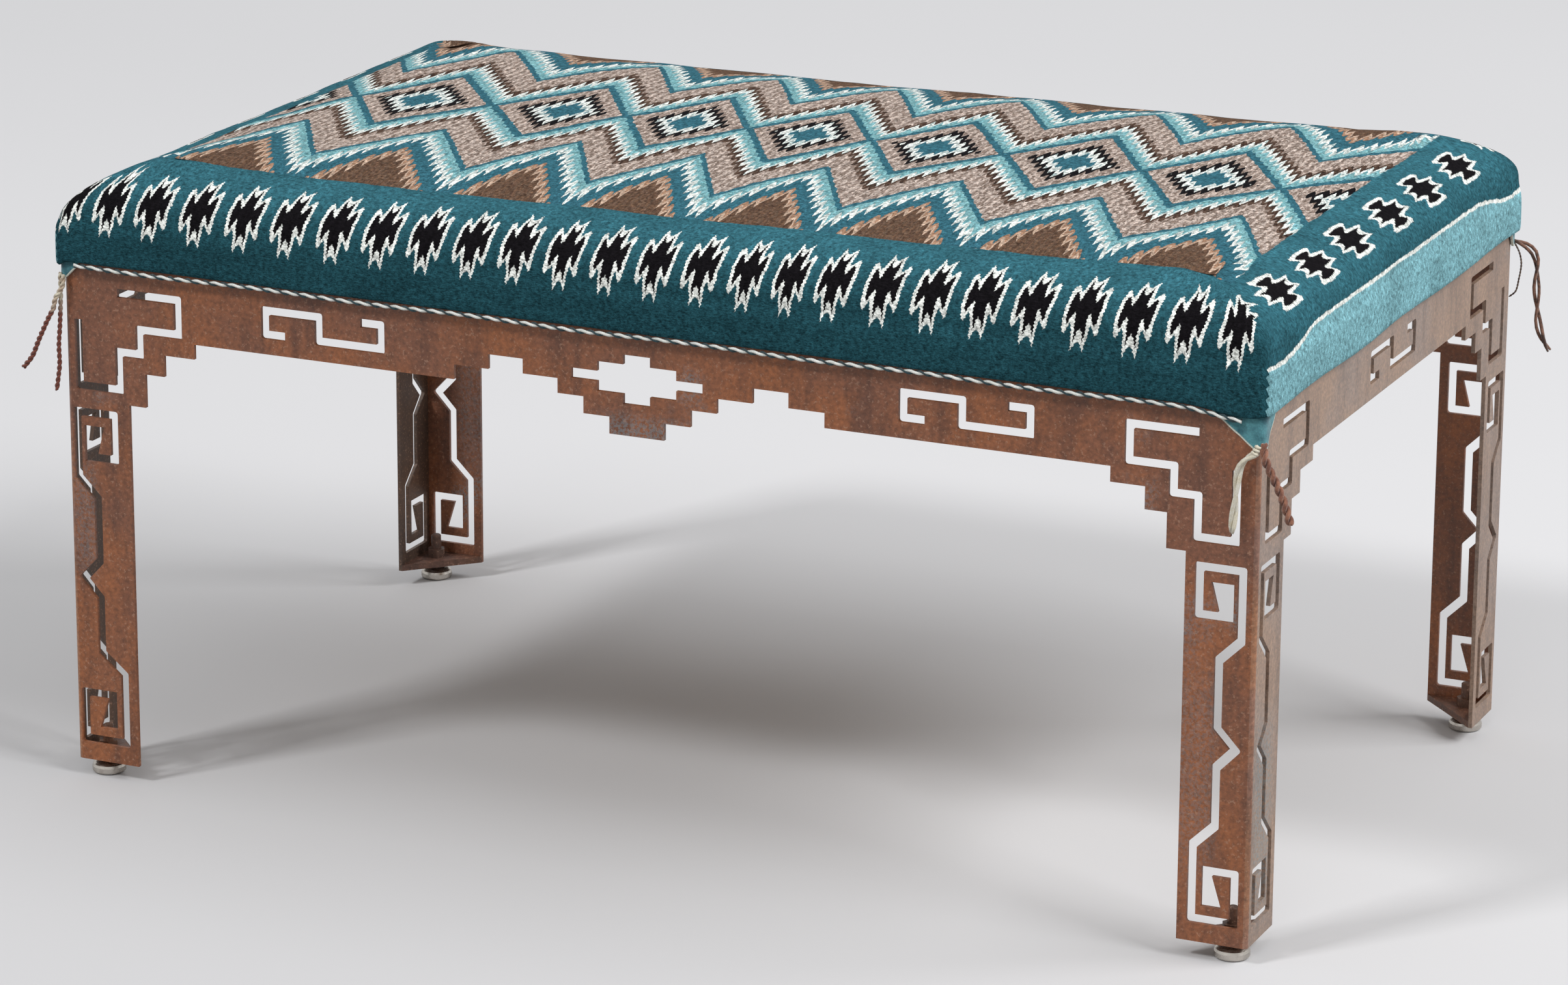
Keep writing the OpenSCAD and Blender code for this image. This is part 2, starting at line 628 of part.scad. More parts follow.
module woven_cover() {
    color("darkcyan") polyhedron(
        points = concat(skin(0, hem_ring(0)), skin(cover_t, hem_ring(cover_t))),
        faces = concat(
            skin_faces(0, false), skin_faces(skin_count, true),
            [for (i = [0 : ring_n - 1])
                let (j = (i + 1) % ring_n)
                each [[i, j, skin_count + j], [i, skin_count + j, skin_count + i]]]));
}

foam_off = cover_t + seat_gap;
module seat_foam() {
    color("lightyellow") polyhedron(
        points = concat(skin(foam_off, wall_ring(deck_z, foam_off)), [[0, 0, deck_z]]),
        faces = concat(skin_faces(0, false),
            [for (i = [0 : ring_n - 1]) [i, (i + 1) % ring_n, skin_count]]));
}

// Cord along each long edge of the weave, which lies under the hem
selvedge_y = half_d + cover_over - cover_t + selvedge_d / 2;
module selvedge() {
    color("whitesmoke") translate([-half_l + corner_r + 4, -selvedge_y, hem_z - selvedge_d / 2])
        rotate([0, 90, 0]) cylinder(d = selvedge_d, h = 2 * (half_l - corner_r - 4), $fn = 16);
}
module selvedge_front() selvedge();
module selvedge_back() rotate([0, 0, 180]) selvedge();

// Folded corners of the weave, which wrap the frame's corner between the hem and the steel
tab_gap = (cover_over - cover_t - tab_t) / 2;
tab_out = tab_gap + tab_t;
tab_h = tab_drop + 1;
// Plan of the strip, bent around the corner's ground weld
module tab_plan() {
    translate([-tab_w, -tab_out]) square([tab_w - plate_t, tab_t]);
    translate([tab_gap, plate_t]) square([tab_t, tab_side_w - plate_t]);
    translate([-plate_t, plate_t]) intersection() {
        difference() {
            circle(plate_t + tab_out);
            circle(plate_t + tab_gap);
        }
        translate([0, -plate_t - tab_out]) square(plate_t + tab_out);
    }
}
// Front view of one wall of the tab, as a block that reaches past the strip on both faces
module tab_wall(w, drop) {
    translate([0, plate_t, 0]) rotate([90, 0, 0]) linear_extrude(plate_t + 2 * tab_out) polygon([
        [-w - 1, top_z - tab_gap], [-w - 1, top_z - hem_drop - 2], [-w, top_z - hem_drop - 3],
        [-plate_t, top_z - drop], [2 * tab_out, top_z - drop], [2 * tab_out, top_z - tab_gap]]);
}
module corner_tab(drop) {
    intersection() {
        translate([0, 0, top_z - tab_h]) linear_extrude(tab_h) tab_plan();
        union() {
            tab_wall(tab_w, drop);
            // The short side's wall is the same shape, reflected into the end face
            mirror([1, 1, 0]) tab_wall(tab_side_w, drop);
        }
    }
}
module corner_tabs() {
    color("cadetblue") for (name = corner_names) at_corner(name)
        corner_tab(name == "front_left" ? tab_drop_short : tab_drop);
}

// Corner tassels: yarn cords that hang free from the tabs. A tube is swept along its route
// with a ring about every two diameters.
function path_len(p, n) = n == 0 ? 0 : norm(p[n] - p[n - 1]) + path_len(p, n - 1);
function at_length(p, s, i = 1) =
    i >= len(p) - 1 || s <= norm(p[i] - p[i - 1])
    ? p[i - 1] + unit(p[i] - p[i - 1]) * s
    : at_length(p, s - norm(p[i] - p[i - 1]), i + 1);
function resampled(p, step) =
    let (total = path_len(p, len(p) - 1), n = max(3, round(total / step)))
    [for (k = [0 : n]) at_length(p, total * k / n)];
function tangent(p, i) = unit(p[min(i + 1, len(p) - 1)] - p[max(i - 1, 0)]);
module cord(route, d, sides) {
    p = resampled(route, 2.2 * d);
    n = len(p);
    points = [for (i = [0 : n - 1])
        let (t = tangent(p, i), u = unit(cross(t, [0, 1, 0])), v = cross(t, u))
        for (k = [0 : sides - 1])
            p[i] + (u * cos(360 * k / sides) + v * sin(360 * k / sides)) * d / 2];
    polyhedron(points, concat(
        [[for (k = [sides - 1 : -1 : 0]) k]],
        [for (i = [0 : n - 2], k = [0 : sides - 1])
            let (j = (k + 1) % sides, a = i * sides + k, b = i * sides + j)
            each [[a, b, b + sides], [a, b + sides, a + sides]]],
        [[for (k = [0 : sides - 1]) (n - 1) * sides + k]]));
}

// Routes from a tab: x outwards from the frame's end, y outwards from the tab's face, z from the
// frame's top edge. Each cord starts against the tab, with its own radius added to y.
white_route = [[-1.6, 0, -24], [-3, -0.5, -32], [-8, -1, -36], [-12, -1.5, -42], [-14, -1.5, -50],
    [-15.5, -1.5, -70], [-17.5, -1.5, -88]];
brown_route = [[3.1, 0, -23], [4, -0.5, -32], [7, 0, -39], [11, 1, -46], [15, 2, -54],
    [19, 3, -64], [24, 4, -79]];
dark_route = [[1.6, 0, -13], [1, 0, -33], [2, -0.5, -52], [3, -1, -67], [3, -1, -82],
    [6, -1, -101]];
forked_route = [[-1.6, 0, -14], [-1.8, -1.6, -22], [3, -3.5, -31], [5, -4, -39], [9, -5, -47],
    [17, -5, -63], [23, -5, -76], [31, -5, -86]];
twisted_route = [[-2, 0, -16], [5, -2, -18], [12, -4, -22], [17, -4, -30], [18, -4, -51],
    [20, -4, -76], [24, -4, -90], [30, -4, -99]];
strand_route = [[2, 0, -22], [5, -1, -28], [6.5, -2, -34], [5, -2, -46], [3, -2, -55],
    [-2, -2, -60]];
// Distance of a cord's axis from the frame's face where it lies against the tab at x
function against_tab(x, d) = x <= -plate_t ? tab_out + d / 2
    : sqrt(pow(plate_t + tab_out + d / 2, 2) - pow(x + plate_t, 2)) - plate_t;
module hang(route, d, sides) {
    cord([for (i = [0 : len(route) - 1])
        let (p = route[i], out = i == 0 ? against_tab(p[0], d) : tab_out + d / 2)
        [p[0], p[1] - out, top_z + p[2]]], d, sides);
}
module tassel_front_left_dark() {
    color("saddlebrown") at_corner("front_left") hang(dark_route, strand_d, 8);
}
module tassel_front_left_forked() {
    color("saddlebrown") at_corner("front_left") hang(forked_route, strand_d, 8);
}
module tassel_front_right_white() {
    color("ivory") at_corner("front_right") hang(white_route, tassel_d, 10);
}
module tassel_front_right_brown() {
    color("saddlebrown") at_corner("front_right") hang(brown_route, tassel_d, 10);
}
module tassel_back_right_twisted() {
    color("saddlebrown") at_corner("back_right") hang(twisted_route, tassel_d, 10);
}
module tassel_back_right_strand() {
    color("dimgray") at_corner("back_right") hang(strand_route, strand_d * 0.6, 8);
}

front_panel();
back_panel();
left_panel();
right_panel();
corner_welds();
foot_plate_front_left();
foot_plate_front_right();
foot_plate_back_left();
foot_plate_back_right();
foot_nuts();
glide_base_front_left();
glide_base_front_right();
glide_base_back_left();
glide_base_back_right();
glide_pad_front_left();
glide_pad_front_right();
glide_pad_back_left();
glide_pad_back_right();
glide_stud_front_left();
glide_stud_front_right();
glide_stud_back_left();
glide_stud_back_right();
seat_gusset_front_left();
seat_gusset_front_right();
seat_gusset_back_left();
seat_gusset_back_right();
seat_lug_front();
seat_lug_back();
seat_screws();
screw_washers();
seat_deck();
seat_foam();
woven_cover();
selvedge_front();
selvedge_back();
corner_tabs();
tassel_front_left_dark();
tassel_front_left_forked();
tassel_front_right_white();
tassel_front_right_brown();
tassel_back_right_twisted();
tassel_back_right_strand();
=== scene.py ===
"""Bench of pierced steel plates with a woven seat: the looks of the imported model.

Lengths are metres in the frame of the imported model, unless a class says otherwise. Colours are
written as display values and turned linear. A range is a pair of its start and its end.
"""
import logging
import math
from dataclasses import dataclass, field
from enum import Enum
from typing import Callable, Dict, List, Optional, Sequence, Tuple

import bmesh
import bpy
from mathutils import Matrix, Vector, noise


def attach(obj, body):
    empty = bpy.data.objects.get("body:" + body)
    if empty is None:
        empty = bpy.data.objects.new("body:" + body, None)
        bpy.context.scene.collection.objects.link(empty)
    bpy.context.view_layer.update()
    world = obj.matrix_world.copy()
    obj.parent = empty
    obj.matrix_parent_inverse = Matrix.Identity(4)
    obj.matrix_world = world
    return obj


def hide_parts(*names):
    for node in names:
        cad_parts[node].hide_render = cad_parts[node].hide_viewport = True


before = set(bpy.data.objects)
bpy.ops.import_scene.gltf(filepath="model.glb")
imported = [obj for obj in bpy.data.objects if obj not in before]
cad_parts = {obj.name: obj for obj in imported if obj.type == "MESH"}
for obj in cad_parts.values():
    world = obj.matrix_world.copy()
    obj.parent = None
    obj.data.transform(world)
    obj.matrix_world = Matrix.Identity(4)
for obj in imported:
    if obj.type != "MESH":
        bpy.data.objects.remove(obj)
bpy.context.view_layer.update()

LOG = logging.getLogger("bench")
Colour = Tuple[float, float, float]
Place = Tuple[float, float, float]
Marks = Tuple[Tuple[float, float], ...]
Material = bpy.types.Material
Mesh = bmesh.types.BMesh
Piece = bpy.types.Object
Socket = bpy.types.NodeSocket


class Corner(Enum):
    """A corner of the bench, with the signs of its x and y."""

    FRONT_LEFT = ("front_left", -1, -1)
    FRONT_RIGHT = ("front_right", 1, -1)
    BACK_LEFT = ("back_left", -1, 1)
    BACK_RIGHT = ("back_right", 1, 1)

    @property
    def title(self) -> str:
        """Name of the corner, as in the CAD nodes."""
        return self.value[0]

    @property
    def side(self) -> Tuple[int, int]:
        """Signs of x and y at the corner."""
        return self.value[1], self.value[2]


class Side(Enum):
    """The run of cloth that a face of the cover belongs to."""

    LONG = "long"
    SHORT = "short"


def linear(red: int, green: int, blue: int) -> Colour:
    """Turns a display colour into the linear one that shaders take.

    Args:
        red: Red, 0 to 255.
        green: Green, 0 to 255.
        blue: Blue, 0 to 255.

    Returns:
        The linear colour.
    """
    def one(level: int) -> float:
        """Linear value of one channel."""
        part = level / 255
        return part / 12.92 if part <= 0.04045 else ((part + 0.055) / 1.055) ** 2.4
    return one(red), one(green), one(blue)


class Graph:
    """Writes the shader nodes of one material."""

    def __init__(self, name: str) -> None:
        """Starts an empty material with a Principled shader.

        Args:
            name: Name of the material.
        """
        self.material = bpy.data.materials.new(name)
        self.material.use_nodes = True
        self.tree = self.material.node_tree
        self.tree.nodes.clear()
        out = self.tree.nodes.new("ShaderNodeOutputMaterial")
        self.shader = self.tree.nodes.new("ShaderNodeBsdfPrincipled")
        self.tree.links.new(self.shader.outputs[0], out.inputs["Surface"])

    def put(self, socket: Socket, value: object) -> None:
        """Links a socket to another one, or sets its plain value.

        Args:
            socket: The input.
            value: A socket, a number or a tuple.
        """
        if isinstance(value, Socket):
            self.tree.links.new(value, socket)
        elif isinstance(value, tuple) and len(value) == 3 and socket.type == "RGBA":
            socket.default_value = (*value, 1.0)
        else:
            socket.default_value = value

    def add(self, kind: str, inputs: Dict[object, object], **settings: object) -> bpy.types.Node:
        """Adds a node.

        Args:
            kind: Its type, without the word ShaderNode.
            inputs: Values or sockets by input name or number.
            **settings: Properties of the node.

        Returns:
            The node.
        """
        node = self.tree.nodes.new("ShaderNode" + kind)
        for key, value in settings.items():
            setattr(node, key, value)
        for key, value in inputs.items():
            self.put(node.inputs[key], value)
        return node

    def sum(self, operation: str, *values: object) -> Socket:
        """Adds a Math node.

        Args:
            operation: Its operation.
            *values: Its inputs in order.

        Returns:
            Its result.
        """
        return self.add("Math", dict(enumerate(values)), operation=operation).outputs[0]

    def blend(self, share: object, first: object, second: object) -> Socket:
        """Mixes two colours.

        Args:
            share: Share of the second colour.
            first: The first colour.
            second: The second colour.

        Returns:
            The mixed colour.
        """
        return self.add("Mix", {0: share, 6: first, 7: second}, data_type="RGBA").outputs[2]

    def tint(self, factor: object, colour: object) -> Socket:
        """Multiplies a colour by a factor.

        Args:
            factor: A number or socket.
            colour: The colour.

        Returns:
            The changed colour.
        """
        grey = self.add("CombineColor", {0: factor, 1: factor, 2: factor}).outputs[0]
        return self.add("Mix", {0: 1.0, 6: colour, 7: grey}, data_type="RGBA",
                        blend_type="MULTIPLY").outputs[2]

    def span(self, value: object, low: float, high: float, to_low: float = 0.0,
             to_high: float = 1.0, smooth: bool = True) -> Socket:
        """Maps a range of values onto another, clamped at its ends.

        Args:
            value: The value.
            low: Start of the range.
            high: End of the range.
            to_low: Result at the start.
            to_high: Result at the end.
            smooth: Whether the step is eased.

        Returns:
            The result.
        """
        kind = "SMOOTHSTEP" if smooth else "LINEAR"
        node = self.add("MapRange", {0: value, 1: low, 2: high, 3: to_low, 4: to_high},
                        interpolation_type=kind)
        node.clamp = True
        return node.outputs[0]

    def ramp(self, value: object, stops: Sequence[Tuple[float, Colour]],
             steps: bool = False) -> Socket:
        """Adds a colour ramp.

        Args:
            value: Position on the ramp.
            stops: Positions and colours in order.
            steps: Whether colours change in steps.

        Returns:
            The colour.
        """
        node = self.add("ValToRGB", {0: value})
        band = node.color_ramp
        band.interpolation = "CONSTANT" if steps else "LINEAR"
        while len(band.elements) < len(stops):
            band.elements.new(1.0)
        for element, (place, _) in zip(band.elements, stops):
            element.position = place
        for element, (_, colour) in zip(band.elements, stops):
            element.color = (*colour, 1.0)
        return node.outputs[0]

    def grain(self, place: object, scale: float, detail: float = 2.0, rough: float = 0.5,
              shift: float = 0.0) -> Socket:
        """Adds a noise texture.

        Args:
            place: Coordinates.
            scale: Scale per metre, or per unit of the coordinates.
            detail: Number of octaves.
            rough: Strength of the finer octaves.
            shift: Place in the fourth dimension, which makes one noise differ from another.

        Returns:
            The noise, about 0.5.
        """
        node = self.add("TexNoise", {"Vector": place, "Scale": scale, "Detail": detail,
                                     "Roughness": rough, "W": shift}, noise_dimensions="4D")
        return node.outputs[0]

    def stretched(self, place: object, scale: Place) -> Socket:
        """Coordinates scaled along their axes."""
        return self.add("Mapping", {"Vector": place, "Scale": Vector(scale)}).outputs[0]

    def object_place(self) -> Socket:
        """Object coordinates, which are the bench's own frame in metres."""
        return self.add("TexCoord", {}).outputs["Object"]

    def bump(self, height: object, distance: float, strength: float = 1.0) -> None:
        """Gives the shader a bump.

        Args:
            height: The height, 0 to 1.
            distance: Height in metres of one unit.
            strength: Strength of the bump.
        """
        node = self.add("Bump", {"Height": height, "Distance": distance, "Strength": strength})
        self.put(self.shader.inputs["Normal"], node.outputs[0])

    def set(self, **values: object) -> None:
        """Sets inputs of the shader, with spaces in their names written as underscores."""
        for key, value in values.items():
            self.put(self.shader.inputs[key.replace("_", " ")], value)


@dataclass(frozen=True)
class PatinaSteel:
    """Plate steel with a brown patina, rust specks and patches of verdigris."""

    name: str = "patina_steel"
    brown: Colour = linear(129, 84, 63)
    rust: Colour = linear(150, 92, 58)
    dark: Colour = linear(78, 52, 44)
    fleck: Colour = linear(190, 150, 126)
    verdigris: Colour = linear(126, 145, 152)
    spots: Tuple[Tuple[float, ...], ...] = ()
    cloud_scale: float = 9
    streak_scale: Place = (60, 60, 14)
    streak_share: float = 0.58
    mottle_scale: float = 300
    fleck_scale: float = 480
    fleck_share: float = 0.42
    stray_scale: float = 14
    stray_share: float = 0.45
    speck_scale: float = 420
    pit_scale: float = 520
    pit_depth: float = 0.00035

    def patch(self, g: Graph, place: object) -> Socket:
        """Share of verdigris, from soft-edged boxes around the stated spots.

        Args:
            g: The material's nodes.
            place: Object coordinates.

        Returns:
            The share before it is broken into specks.
        """
        axes = g.add("SeparateXYZ", {0: place})
        total: object = 0.0
        for x, y, z, wide, deep, high, amount in self.spots:
            share: object = amount
            for axis, centre, half in ((0, x, wide), (1, y, deep), (2, z, high)):
                away = g.sum("ABSOLUTE", g.sum("SUBTRACT", axes.outputs[axis], centre))
                near = g.span(away, half * 0.45, half * 1.2, 1.0, 0.0)
                share = g.sum("MULTIPLY", share, near)
            total = g.sum("MAXIMUM", total, share)
        return total

    def build(self) -> Material:
        """Makes the material.

        Returns:
            The material.
        """
        g = Graph(self.name)
        place = g.object_place()
        cloud = g.span(g.grain(place, self.cloud_scale, 4, 0.6), 0.38, 0.62)
        colour = g.blend(cloud, self.brown, self.rust)
        streak = g.grain(g.stretched(place, self.streak_scale), 1, 3, 0.6, 3.1)
        streak = g.span(streak, 0.42, 0.72)
        colour = g.blend(g.sum("MULTIPLY", streak, self.streak_share), colour, self.dark)
        mottle = g.grain(place, self.mottle_scale, 4, 0.72, 1.7)
        colour = g.tint(g.span(mottle, 0.34, 0.66, 0.66, 1.36, False), colour)
        flecks = g.span(g.grain(place, self.fleck_scale, 2, 0.6, 5.2), 0.57, 0.68)
        colour = g.blend(g.sum("MULTIPLY", flecks, self.fleck_share), colour, self.fleck)
        stray = g.grain(place, self.stray_scale, 3, 0.6, 8.4)
        stray = g.span(stray, 0.6, 0.74, 0.0, self.stray_share)
        share = g.sum("MAXIMUM", stray, self.patch(g, place))
        specks = g.span(g.grain(place, self.speck_scale, 3, 0.7, 2.2), 0.44, 0.54)
        share = g.sum("MULTIPLY", share, specks)
        colour = g.blend(share, colour, self.verdigris)
        rough = g.span(mottle, 0.3, 0.7, 0.38, 0.6, False)
        g.set(Base_Color=colour, Roughness=g.sum("MAXIMUM", rough, g.sum("MULTIPLY", share, 0.8)))
        pits = g.grain(place, self.pit_scale, 4, 0.6, 4.0)
        g.bump(g.sum("ADD", pits, g.sum("MULTIPLY", cloud, 0.4)), self.pit_depth, 0.7)
        return g.material


@dataclass(frozen=True)
class BrightMetal:
    """Plated metal with fine turning marks."""

    name: str
    colour: Colour = linear(196, 190, 182)
    rough: float = 0.26
    soiled: Colour = linear(110, 98, 88)
    mark_scale: Place = (300, 300, 4200)
    dirt_scale: float = 160

    def build(self) -> Material:
        """Makes the material.

        Returns:
            The material.
        """
        g = Graph(self.name)
        place = g.object_place()
        marks = g.grain(g.stretched(place, self.mark_scale), 1, 2, 0.5)
        dirt = g.span(g.grain(place, self.dirt_scale, 4, 0.6, 2.0), 0.5, 0.75)
        colour = g.blend(g.sum("MULTIPLY", dirt, 0.5), self.colour, self.soiled)
        turned = g.span(marks, 0.3, 0.7, self.rough - 0.06, self.rough + 0.1)
        g.set(Base_Color=colour, Metallic=1.0,
              Roughness=g.sum("ADD", g.sum("MULTIPLY", dirt, 0.2), turned))
        g.bump(marks, 0.00005, 0.5)
        return g.material


@dataclass(frozen=True)
class NylonPad:
    """Grey moulded pad with a ground-in, dusty face."""

    name: str = "nylon_pad"
    clean: Colour = linear(92, 90, 88)
    dusty: Colour = linear(140, 134, 126)
    dust_scale: float = 300

    def build(self) -> Material:
        """Makes the material.

        Returns:
            The material.
        """
        g = Graph(self.name)
        place = g.object_place()
        dust = g.grain(place, self.dust_scale, 4, 0.6)
        g.set(Base_Color=g.blend(g.span(dust, 0.4, 0.7), self.clean, self.dusty), Roughness=0.55)
        g.bump(dust, 0.0001, 0.5)
        return g.material


@dataclass(frozen=True)
class Plywood:
    """Plywood with grain along the bench and plies that show at its edges."""

    name: str = "plywood"
    pale: Colour = linear(206, 176, 136)
    late: Colour = linear(168, 130, 90)
    glue: Colour = linear(128, 92, 60)
    grain_scale: Place = (9, 210, 40)
    ply_scale: float = 84.0

    def build(self) -> Material:
        """Makes the material.

        Returns:
            The material.
        """
        g = Graph(self.name)
        place = g.object_place()
        grain = g.grain(g.stretched(place, self.grain_scale), 1, 4, 0.6)
        face = g.blend(g.span(grain, 0.35, 0.68), self.pale, self.late)
        plies = g.add("TexWave", {"Vector": place, "Scale": self.ply_scale, "Distortion": 0.6},
                      bands_direction="Z").outputs[1]
        normal = g.add("NewGeometry", {}).outputs["Normal"]
        tilt = g.sum("ABSOLUTE", g.add("SeparateXYZ", {0: normal}).outputs[2])
        edge = g.sum("MULTIPLY", g.span(tilt, 0.3, 0.7, 1.0, 0.0), g.span(plies, 0.4, 0.6))
        g.set(Base_Color=g.blend(edge, face, self.glue), Roughness=0.7)
        g.bump(grain, 0.0003, 0.6)
        return g.material


@dataclass(frozen=True)
class Yarn:
    """Spun wool of one cord, with fibres, lighter and darker lengths and a soft sheen.

    A change is the range of heights in which the yarn turns to another colour, and that colour.
    """

    name: str
    colour: Colour
    other: Colour
    change: Optional[Tuple[float, float, Colour]] = None
    change_scale: float = 120
    change_reach: float = 0.03
    patch_scale: float = 150
    fibre_scale: Place = (2600, 2600, 900)

    def build(self) -> Material:
        """Makes the material.

        Returns:
            The material.
        """
        g = Graph(self.name)
        place = g.object_place()
        patches = g.span(g.grain(place, self.patch_scale, 3, 0.6), 0.4, 0.62)
        colour = g.blend(patches, self.colour, self.other)
        if self.change is not None:
            start, end, below = self.change
            height = g.add("SeparateXYZ", {0: place}).outputs[2]
            wander = g.sum("SUBTRACT", g.grain(place, self.change_scale, 2, 0.5, 6.0), 0.5)
            height = g.sum("ADD", height, g.sum("MULTIPLY", wander, self.change_reach))
            colour = g.blend(g.span(height, start, end, 1.0, 0.0), colour, below)
        fibre = g.grain(g.stretched(place, self.fibre_scale), 1, 3, 0.7, 1.0)
        colour = g.tint(g.span(fibre, 0.3, 0.7, 0.72, 1.2, False), colour)
        g.set(Base_Color=colour, Roughness=0.9, Sheen_Weight=0.35, Sheen_Roughness=0.5)
        g.bump(fibre, 0.0005, 0.8)
        return g.material


@dataclass(frozen=True)
class FoldedCloth:
    """The light turquoise cloth of the folded corner tabs, with a pale selvedge edge."""

    name: str = "tab_cloth"
    light: Colour = linear(84, 148, 158)
    deep: Colour = linear(36, 92, 105)
    selvedge: Colour = linear(214, 218, 206)
    selvedge_w: Tuple[float, float] = (0.0011, 0.0019)
    shade_scale: float = 70
    fibre_scale: float = 900

    def build(self) -> Material:
        """Makes the material. Its second coordinate is the distance from the tab's lower edge.

        Returns:
            The material.
        """
        g = Graph(self.name)
        weave = g.add("UVMap", {}, uv_map="weave").outputs[0]
        edge = g.add("SeparateXYZ", {0: weave}).outputs[1]
        place = g.object_place()
        shade = g.span(g.grain(place, self.shade_scale, 3, 0.6), 0.36, 0.62)
        colour = g.blend(shade, self.light, self.deep)
        colour = g.blend(g.span(edge, *self.selvedge_w, 1.0, 0.0), colour, self.selvedge)
        fibre = g.grain(place, self.fibre_scale, 3, 0.7, 2.0)
        colour = g.tint(g.span(fibre, 0.3, 0.7, 0.78, 1.18, False), colour)
        g.set(Base_Color=colour, Roughness=0.92, Sheen_Weight=0.4, Sheen_Roughness=0.5)
        g.bump(fibre, 0.0006, 0.9)
        return g.material


@dataclass(frozen=True)
class WovenPattern:
    """The blanket's weave: stepped diamonds and zigzags inside a border of crosses.

    Lengths are millimetres on the flat cloth: u runs along the bench and v across it. They come
    from the piece's own map, in which one unit is a metre of cloth.
    """

    name: str = "woven_blanket"
    # Wandering of the weave's lines: scale of the noise and its reach
    wander: Marks = ((0.09, 2.6), (0.5, 1.3))
    # Grain of the wool: patches of the dye, clumps of fibre, fibres, and rows of the weave
    dye_scale: float = 0.02
    clump_scale: float = 0.27
    fibre_scale: float = 0.42
    row_scale: Place = (0.3, 0.85, 1)
    # Wool of the border and the walls, and the lighter wool of the cloth's top: the top's lighter
    # teal is painted highlight, the sheen of light grazing the wool
    teal: Colour = linear(37, 79, 89)
    top_painted_light: Colour = linear(54, 106, 119)
    fade: Tuple[float, float] = (20.0, 72.0)
    top_light_half: float = 436.0
    top_light_depth: float = 223.0
    band: Colour = linear(130, 180, 190)
    # Wool of the field
    ground: Colour = linear(56, 106, 121)
    turquoise: Colour = linear(136, 184, 187)
    white: Colour = linear(240, 243, 238)
    black: Colour = linear(20, 18, 21)
    taupe: Colour = linear(156, 139, 129)
    pink: Colour = linear(222, 206, 196)
    umber: Colour = linear(102, 84, 72)
    brown: Colour = linear(84, 62, 52)
    earth: Colour = linear(112, 86, 68)
    tan: Colour = linear(168, 132, 108)
    sand: Colour = linear(196, 170, 150)
    smoke: Colour = linear(120, 150, 152)
    lagoon: Colour = linear(84, 142, 150)
    # Diamonds of the field, and the teeth of their outlines
    centres: Tuple[float, ...] = (-427, -317.5, -195, -94.7, 3, 102, 210.4, 313.7, 424)
    middle: float = 8.7
    skew: float = 0.045
    skew_loss: float = 0.00007
    rise: float = 80.0
    flare: float = 0.1
    reach: float = 300.0
    tooth: float = 6.7
    tooth_start: float = 600.0
    tooth_reach: float = 11.0
    tooth_share: Marks = (
        (0, .3), (24, .5), (38, .75), (56, .75), (66, .3), (86, 0), (98, .4), (106, .85),
        (134, .85), (144, .25), (194, .1), (204, .9), (234, .9), (247, .1), (253, .3),
        (262, .95), (300, .95))
    stroke: Tuple[float, float] = (0.5, 0.15)
    # Half length and half depth of the field, which is cut a little larger at its corners
    field_half: float = 416.0
    field_depth: float = 231.0
    corner_v: Tuple[float, float] = (178, 240)
    corner_u: Tuple[float, float] = (404, 420)
    corner_out: Tuple[float, float] = (12.0, 13.0)
    # Crosses: a row along each side and a column at each end
    cross_pitch: float = 35.6
    cross_row: float = 276.0
    row_from: float = 242.0
    cross_lean: float = 0.035
    lean_reach: float = 440.0
    row_marks: Marks = (
        (-471, -0.5), (-453, 0), (-384, 2), (-235, 6), (-56.8, 11), (82.8, 15), (146.5, 17),
        (328.8, 22), (440, 25), (458, 25.5))
    cross_column: float = 446.0
    column_pitch: float = 78.0
    column_scale: float = 1.2
    column_marks: Marks = (
        (-243, -0.5), (-204, 0), (-125, 1), (-53, 2), (33, 3), (106, 4), (186, 5), (224, 5.5))
    cross_edge: Marks = (
        (0, 24), (1.6, 25), (4.5, 31.5), (6.0, 15), (7.0, 12), (11.0, 19.5), (12.8, 17), (13.4, 0))
    cross_heart: Marks = (
        (0, 16), (1.6, 18), (3.3, 26), (4.3, 7), (5.4, 4.5), (9.2, 13.5), (10.6, 11), (11.0, 0))
    cross_half: float = 17.8
    cross_tall: float = 40.0
    cross_side: float = 13.9
    stitch: float = 1.35
    stitch_reach: float = 0.8
    # Turquoise band at each end, with its white line
    band_start: float = 480.6
    band_line: float = 2.6
    band_corner: Tuple[float, float] = (171, 245)
    band_out: float = 9.0

    def counted(self, g: Graph, value: object, marks: Marks) -> object:
        """Counts along a run of marks, evenly between them.

        Args:
            g: The material's nodes.
            value: Place along the run.
            marks: Places and their counts in order.

        Returns:
            The distance from the nearest whole count, up to a half.
        """
        count: object = float(marks[0][1])
        for (low, first), (high, last) in zip(marks, marks[1:]):
            count = g.sum("ADD", count, g.span(value, low, high, 0.0, last - first, False))
        return g.sum("ABSOLUTE", g.sum("SUBTRACT", count, g.sum("ROUND", count)))

    def above(self, g: Graph, value: object, limit: object, soft: float = 0.35) -> object:
        """Share that is 1 where a value is over a limit, with a soft edge.

        Args:
            g: The material's nodes.
            value: The value.
            limit: The limit.
            soft: Width of the edge.

        Returns:
            The share.
        """
        return g.span(g.sum("SUBTRACT", value, limit), -soft, soft, 0.0, 1.0, False)

